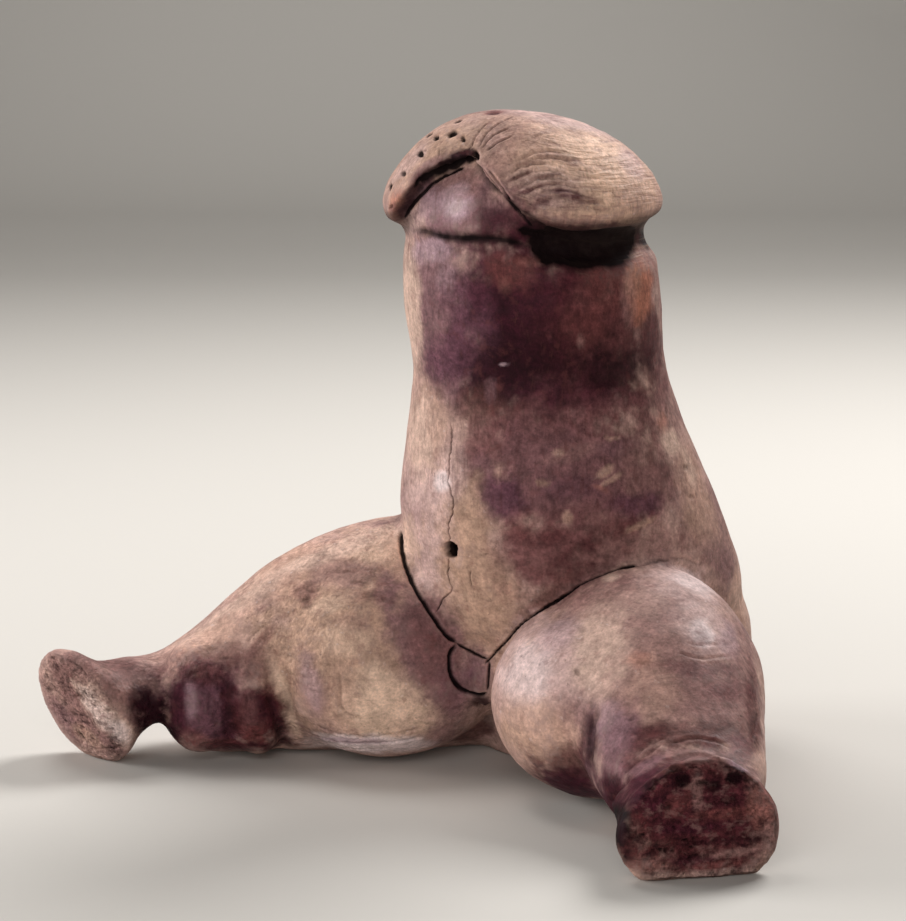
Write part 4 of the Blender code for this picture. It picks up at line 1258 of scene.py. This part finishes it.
def burnished_earthenware(clay):
    """Low-fired clay, rubbed smooth with a pebble before firing.

    The rubbing gives a soft broken sheen in strokes, the open fire gives smoky patches that are mottled at
    their edges, and burial has left pores, pale flecks and soil in every hollow. The hollows, the grooves and
    the underside of the cap's rim are darkened further with painted shade.
    """
    material = bpy.data.materials.new("burnished_earthenware")
    material.use_nodes = True
    tree = material.node_tree
    shader = tree.nodes["Principled BSDF"]
    place = add(tree, "ShaderNodeTexCoord", "Object")
    tone = add(tree, "ShaderNodeAttribute", "Color", attribute_name="fired_colour")
    dirt = add(tree, "ShaderNodeAttribute", "Fac", attribute_name="dirt")
    strokes = add(tree, "ShaderNodeAttribute", "Vector", attribute_name="strokes")
    patterns = clay_patterns(tree, place, strokes)
    masks = clay_masks(tree, place, tone, strokes, patterns["crusts"])
    tree.links.new(clay_colour(tree, tone, dirt, patterns, masks, clay), shader.inputs["Base Color"])

    # the pebble's strokes shine more than the clay between them; broken clay, earth and painted shade don't
    # shine
    gloss = GLOSS
    changes = [(patterns[name], change) for name, change in GLOSS_CHANGES.items()]
    for value, change in (*changes, (masks["rough"], MATT), (dirt, MATT)):
        sockets = {0: value, 1: change, 2: gloss}
        gloss = add(tree, "ShaderNodeMath", "Value", sockets, operation="MULTIPLY_ADD")
    tree.links.new(gloss, shader.inputs["Roughness"])
    shader.inputs["Specular IOR Level"].default_value = SHEEN
    tree.links.new(clay_relief(tree, patterns, masks), shader.inputs["Normal"])
    return material


def seamless_paper(colour_of_paper):
    """Matt photographer's paper: no sheen, and a faint tooth that only softens the light on it."""
    material = bpy.data.materials.new("seamless_paper")
    material.use_nodes = True
    tree = material.node_tree
    shader = tree.nodes["Principled BSDF"]
    place = add(tree, "ShaderNodeTexCoord", "Object")
    tooth = add(tree, "ShaderNodeTexNoise", "Fac", {"Vector": place, "Scale": 1 / PAPER_TOOTH, "Detail": 2})
    between_teeth = [TOOTH_SHADE * share for share in colour_of_paper]
    sockets = {0: tooth, 6: (*between_teeth, 1), 7: (*colour_of_paper, 1)}
    shade = add(tree, "ShaderNodeMix", 2, sockets, data_type="RGBA")
    tree.links.new(shade, shader.inputs["Base Color"])
    shader.inputs["Roughness"].default_value = PAPER_ROUGHNESS
    return material


class FIGURINE_OT_body(bpy.types.Operator):
    """Make the figurine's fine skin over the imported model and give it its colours"""

    bl_idname = "figurine.body"
    bl_label = "Clay body"

    def execute(self, context):
        stage = context.scene.figurine_stage
        settings = context.scene.figurine_skin
        clay = context.scene.figurine_clay
        view = view_from(stage, stage.turn)
        behind = view_from(stage, stage.turn + math.pi)
        noise.seed_set(SEED)
        body = copy_of_model(context)

        # an even skin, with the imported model's facets smoothed away below the cap
        apply_modifier(body, "REMESH", mode="VOXEL", voxel_size=settings.grain)
        places = numbers(body.data.vertices, "co", 3)
        weigh(body, "plain", between(places[:, 2], CAP_FROM, CAP_FROM - CAP_BLEND))
        apply_modifier(body, "SMOOTH", iterations=settings.melt, vertex_group="plain")
        apply_modifier(body, "SMOOTH", iterations=SOFTEN)

        # finer faces where marks are pressed in, and the finest at the sharpest of them
        skin = skin_of(body)
        traced = {name: [] for name in KINDS}
        for name, run in LINES:
            traced[name].append(hits(skin, view, soft_curve(run)))
        lines = [points for group in traced.values() for points in group]
        sharp = [points for name in SHARP for points in traced[name]]
        holes = hits(skin, view, [(hole.x, hole.y) for hole in HOLES])
        soles = hits(skin, view, [(sole.x, sole.y) for sole in SOLES])
        halve_faces(body, soles, SOLE_REACH)
        halve_faces(body, np.concatenate((*lines, holes)), MARK_REACH)
        halve_faces(body, np.concatenate((*sharp, holes)), SHARP_REACH)
        halve_faces(body, np.concatenate(traced["crack"]), CRACK_REACH)
        apply_modifier(body, "SMOOTH", iterations=SOFTEN)

        paint(body, view, behind, clay, *press_all(body, view, settings))
        body.data.shade_smooth()
        body.data.materials.clear()
        body.data.materials.append(burnished_earthenware(clay))
        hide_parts(NODE)
        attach(body, "root")
        return {"FINISHED"}


def add_light(stage, light):
    """Add a soft box that shines on the figure, or away from it where its aim is -1."""
    way = direction(stage.turn + math.radians(light.turn), math.radians(light.rise))
    middle = COLUMN_FOOT + Vector((0, 0, LIT_HEIGHT))
    bpy.ops.object.light_add(type="AREA", location=middle + LIGHT_DISTANCE * way)
    lamp = bpy.context.object
    lamp.name = light.name
    lamp.rotation_euler = (-light.aim * way).to_track_quat("-Z", "Y").to_euler()
    lamp.data.energy = light.power
    lamp.data.size = light.size


def select_edges(body, chosen):
    """Select the edges between the chosen vertices, and nothing else."""
    deselect("EDGE")
    for edge in body.data.edges:
        edge.select = all(chosen[number] for number in edge.vertices)


def add_floor(stage):
    """Paper that lies under the figure and sweeps up behind it."""
    bpy.ops.object.select_all(action="DESELECT")
    bpy.ops.mesh.primitive_plane_add(size=stage.floor_size, rotation=(0, 0, stage.turn))
    floor = bpy.context.object
    floor.name = "floor"
    bpy.ops.object.transform_apply(location=True, rotation=True, scale=True)
    away = np.array((-math.sin(stage.turn), math.cos(stage.turn), 0))
    select_edges(floor, numbers(floor.data.vertices, "co", 3) @ away > 0)
    bpy.ops.object.mode_set(mode="EDIT")
    bpy.ops.mesh.extrude_region_move(TRANSFORM_OT_translate={"value": (0, 0, stage.floor_size / 2)})
    bpy.ops.object.mode_set(mode="OBJECT")
    corners = numbers(floor.data.vertices, "co", 3)
    select_edges(floor, (corners @ away > 0) & (corners[:, 2] < 1 * MM))
    bpy.ops.object.mode_set(mode="EDIT")
    bpy.ops.mesh.bevel(offset=stage.sweep, segments=SWEEP_STEPS)
    bpy.ops.object.mode_set(mode="OBJECT")
    floor.data.shade_smooth()
    floor.data.materials.append(seamless_paper(stage.floor_colour))


class FIGURINE_OT_stage(bpy.types.Operator):
    """Set the floor, the light and the camera"""

    bl_idname = "figurine.stage"
    bl_label = "Studio"

    def execute(self, context):
        stage = context.scene.figurine_stage
        add_floor(stage)
        view = view_from(stage, stage.turn)
        aim = (-view.back).to_track_quat("-Z", "Y").to_euler()
        bpy.ops.object.camera_add(location=view.eye, rotation=aim)
        camera = context.object
        camera.data.sensor_fit = "VERTICAL"
        camera.data.sensor_height = SENSOR
        camera.data.lens = SENSOR * stage.distance / PIXEL / PICTURE[1]
        context.scene.camera = camera
        for light in LIGHTS:
            add_light(stage, light)
        world = bpy.data.worlds.new("studio")
        context.scene.world = world
        world.use_nodes = True
        background = world.node_tree.nodes["Background"]
        background.inputs["Color"].default_value = (*stage.room_colour, 1)
        background.inputs["Strength"].default_value = stage.room_light
        context.scene.view_settings.view_transform = "Standard"
        return {"FINISHED"}


class FIGURINE_PT_panel(bpy.types.Panel):
    """The figurine's steps in the sidebar"""

    bl_idname = "FIGURINE_PT_panel"
    bl_label = "Figurine"
    bl_space_type = "VIEW_3D"
    bl_region_type = "UI"
    bl_category = "Figurine"

    def draw(self, context):
        self.layout.operator(FIGURINE_OT_body.bl_idname)
        self.layout.operator(FIGURINE_OT_stage.bl_idname)


CLASSES = (StageSettings, SkinSettings, ClaySettings, FIGURINE_OT_body, FIGURINE_OT_stage, FIGURINE_PT_panel)


def register():
    """Make the settings, the steps and the panel known to Blender."""
    for kind in CLASSES:
        bpy.utils.register_class(kind)
    bpy.types.Scene.figurine_stage = PointerProperty(type=StageSettings)
    bpy.types.Scene.figurine_skin = PointerProperty(type=SkinSettings)
    bpy.types.Scene.figurine_clay = PointerProperty(type=ClaySettings)


def unregister():
    """Take them out of Blender again."""
    del bpy.types.Scene.figurine_clay
    del bpy.types.Scene.figurine_skin
    del bpy.types.Scene.figurine_stage
    for kind in reversed(CLASSES):
        bpy.utils.unregister_class(kind)


def main():
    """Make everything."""
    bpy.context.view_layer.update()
    register()
    bpy.ops.figurine.body()
    bpy.ops.figurine.stage()


if __name__ == "__main__":
    main()
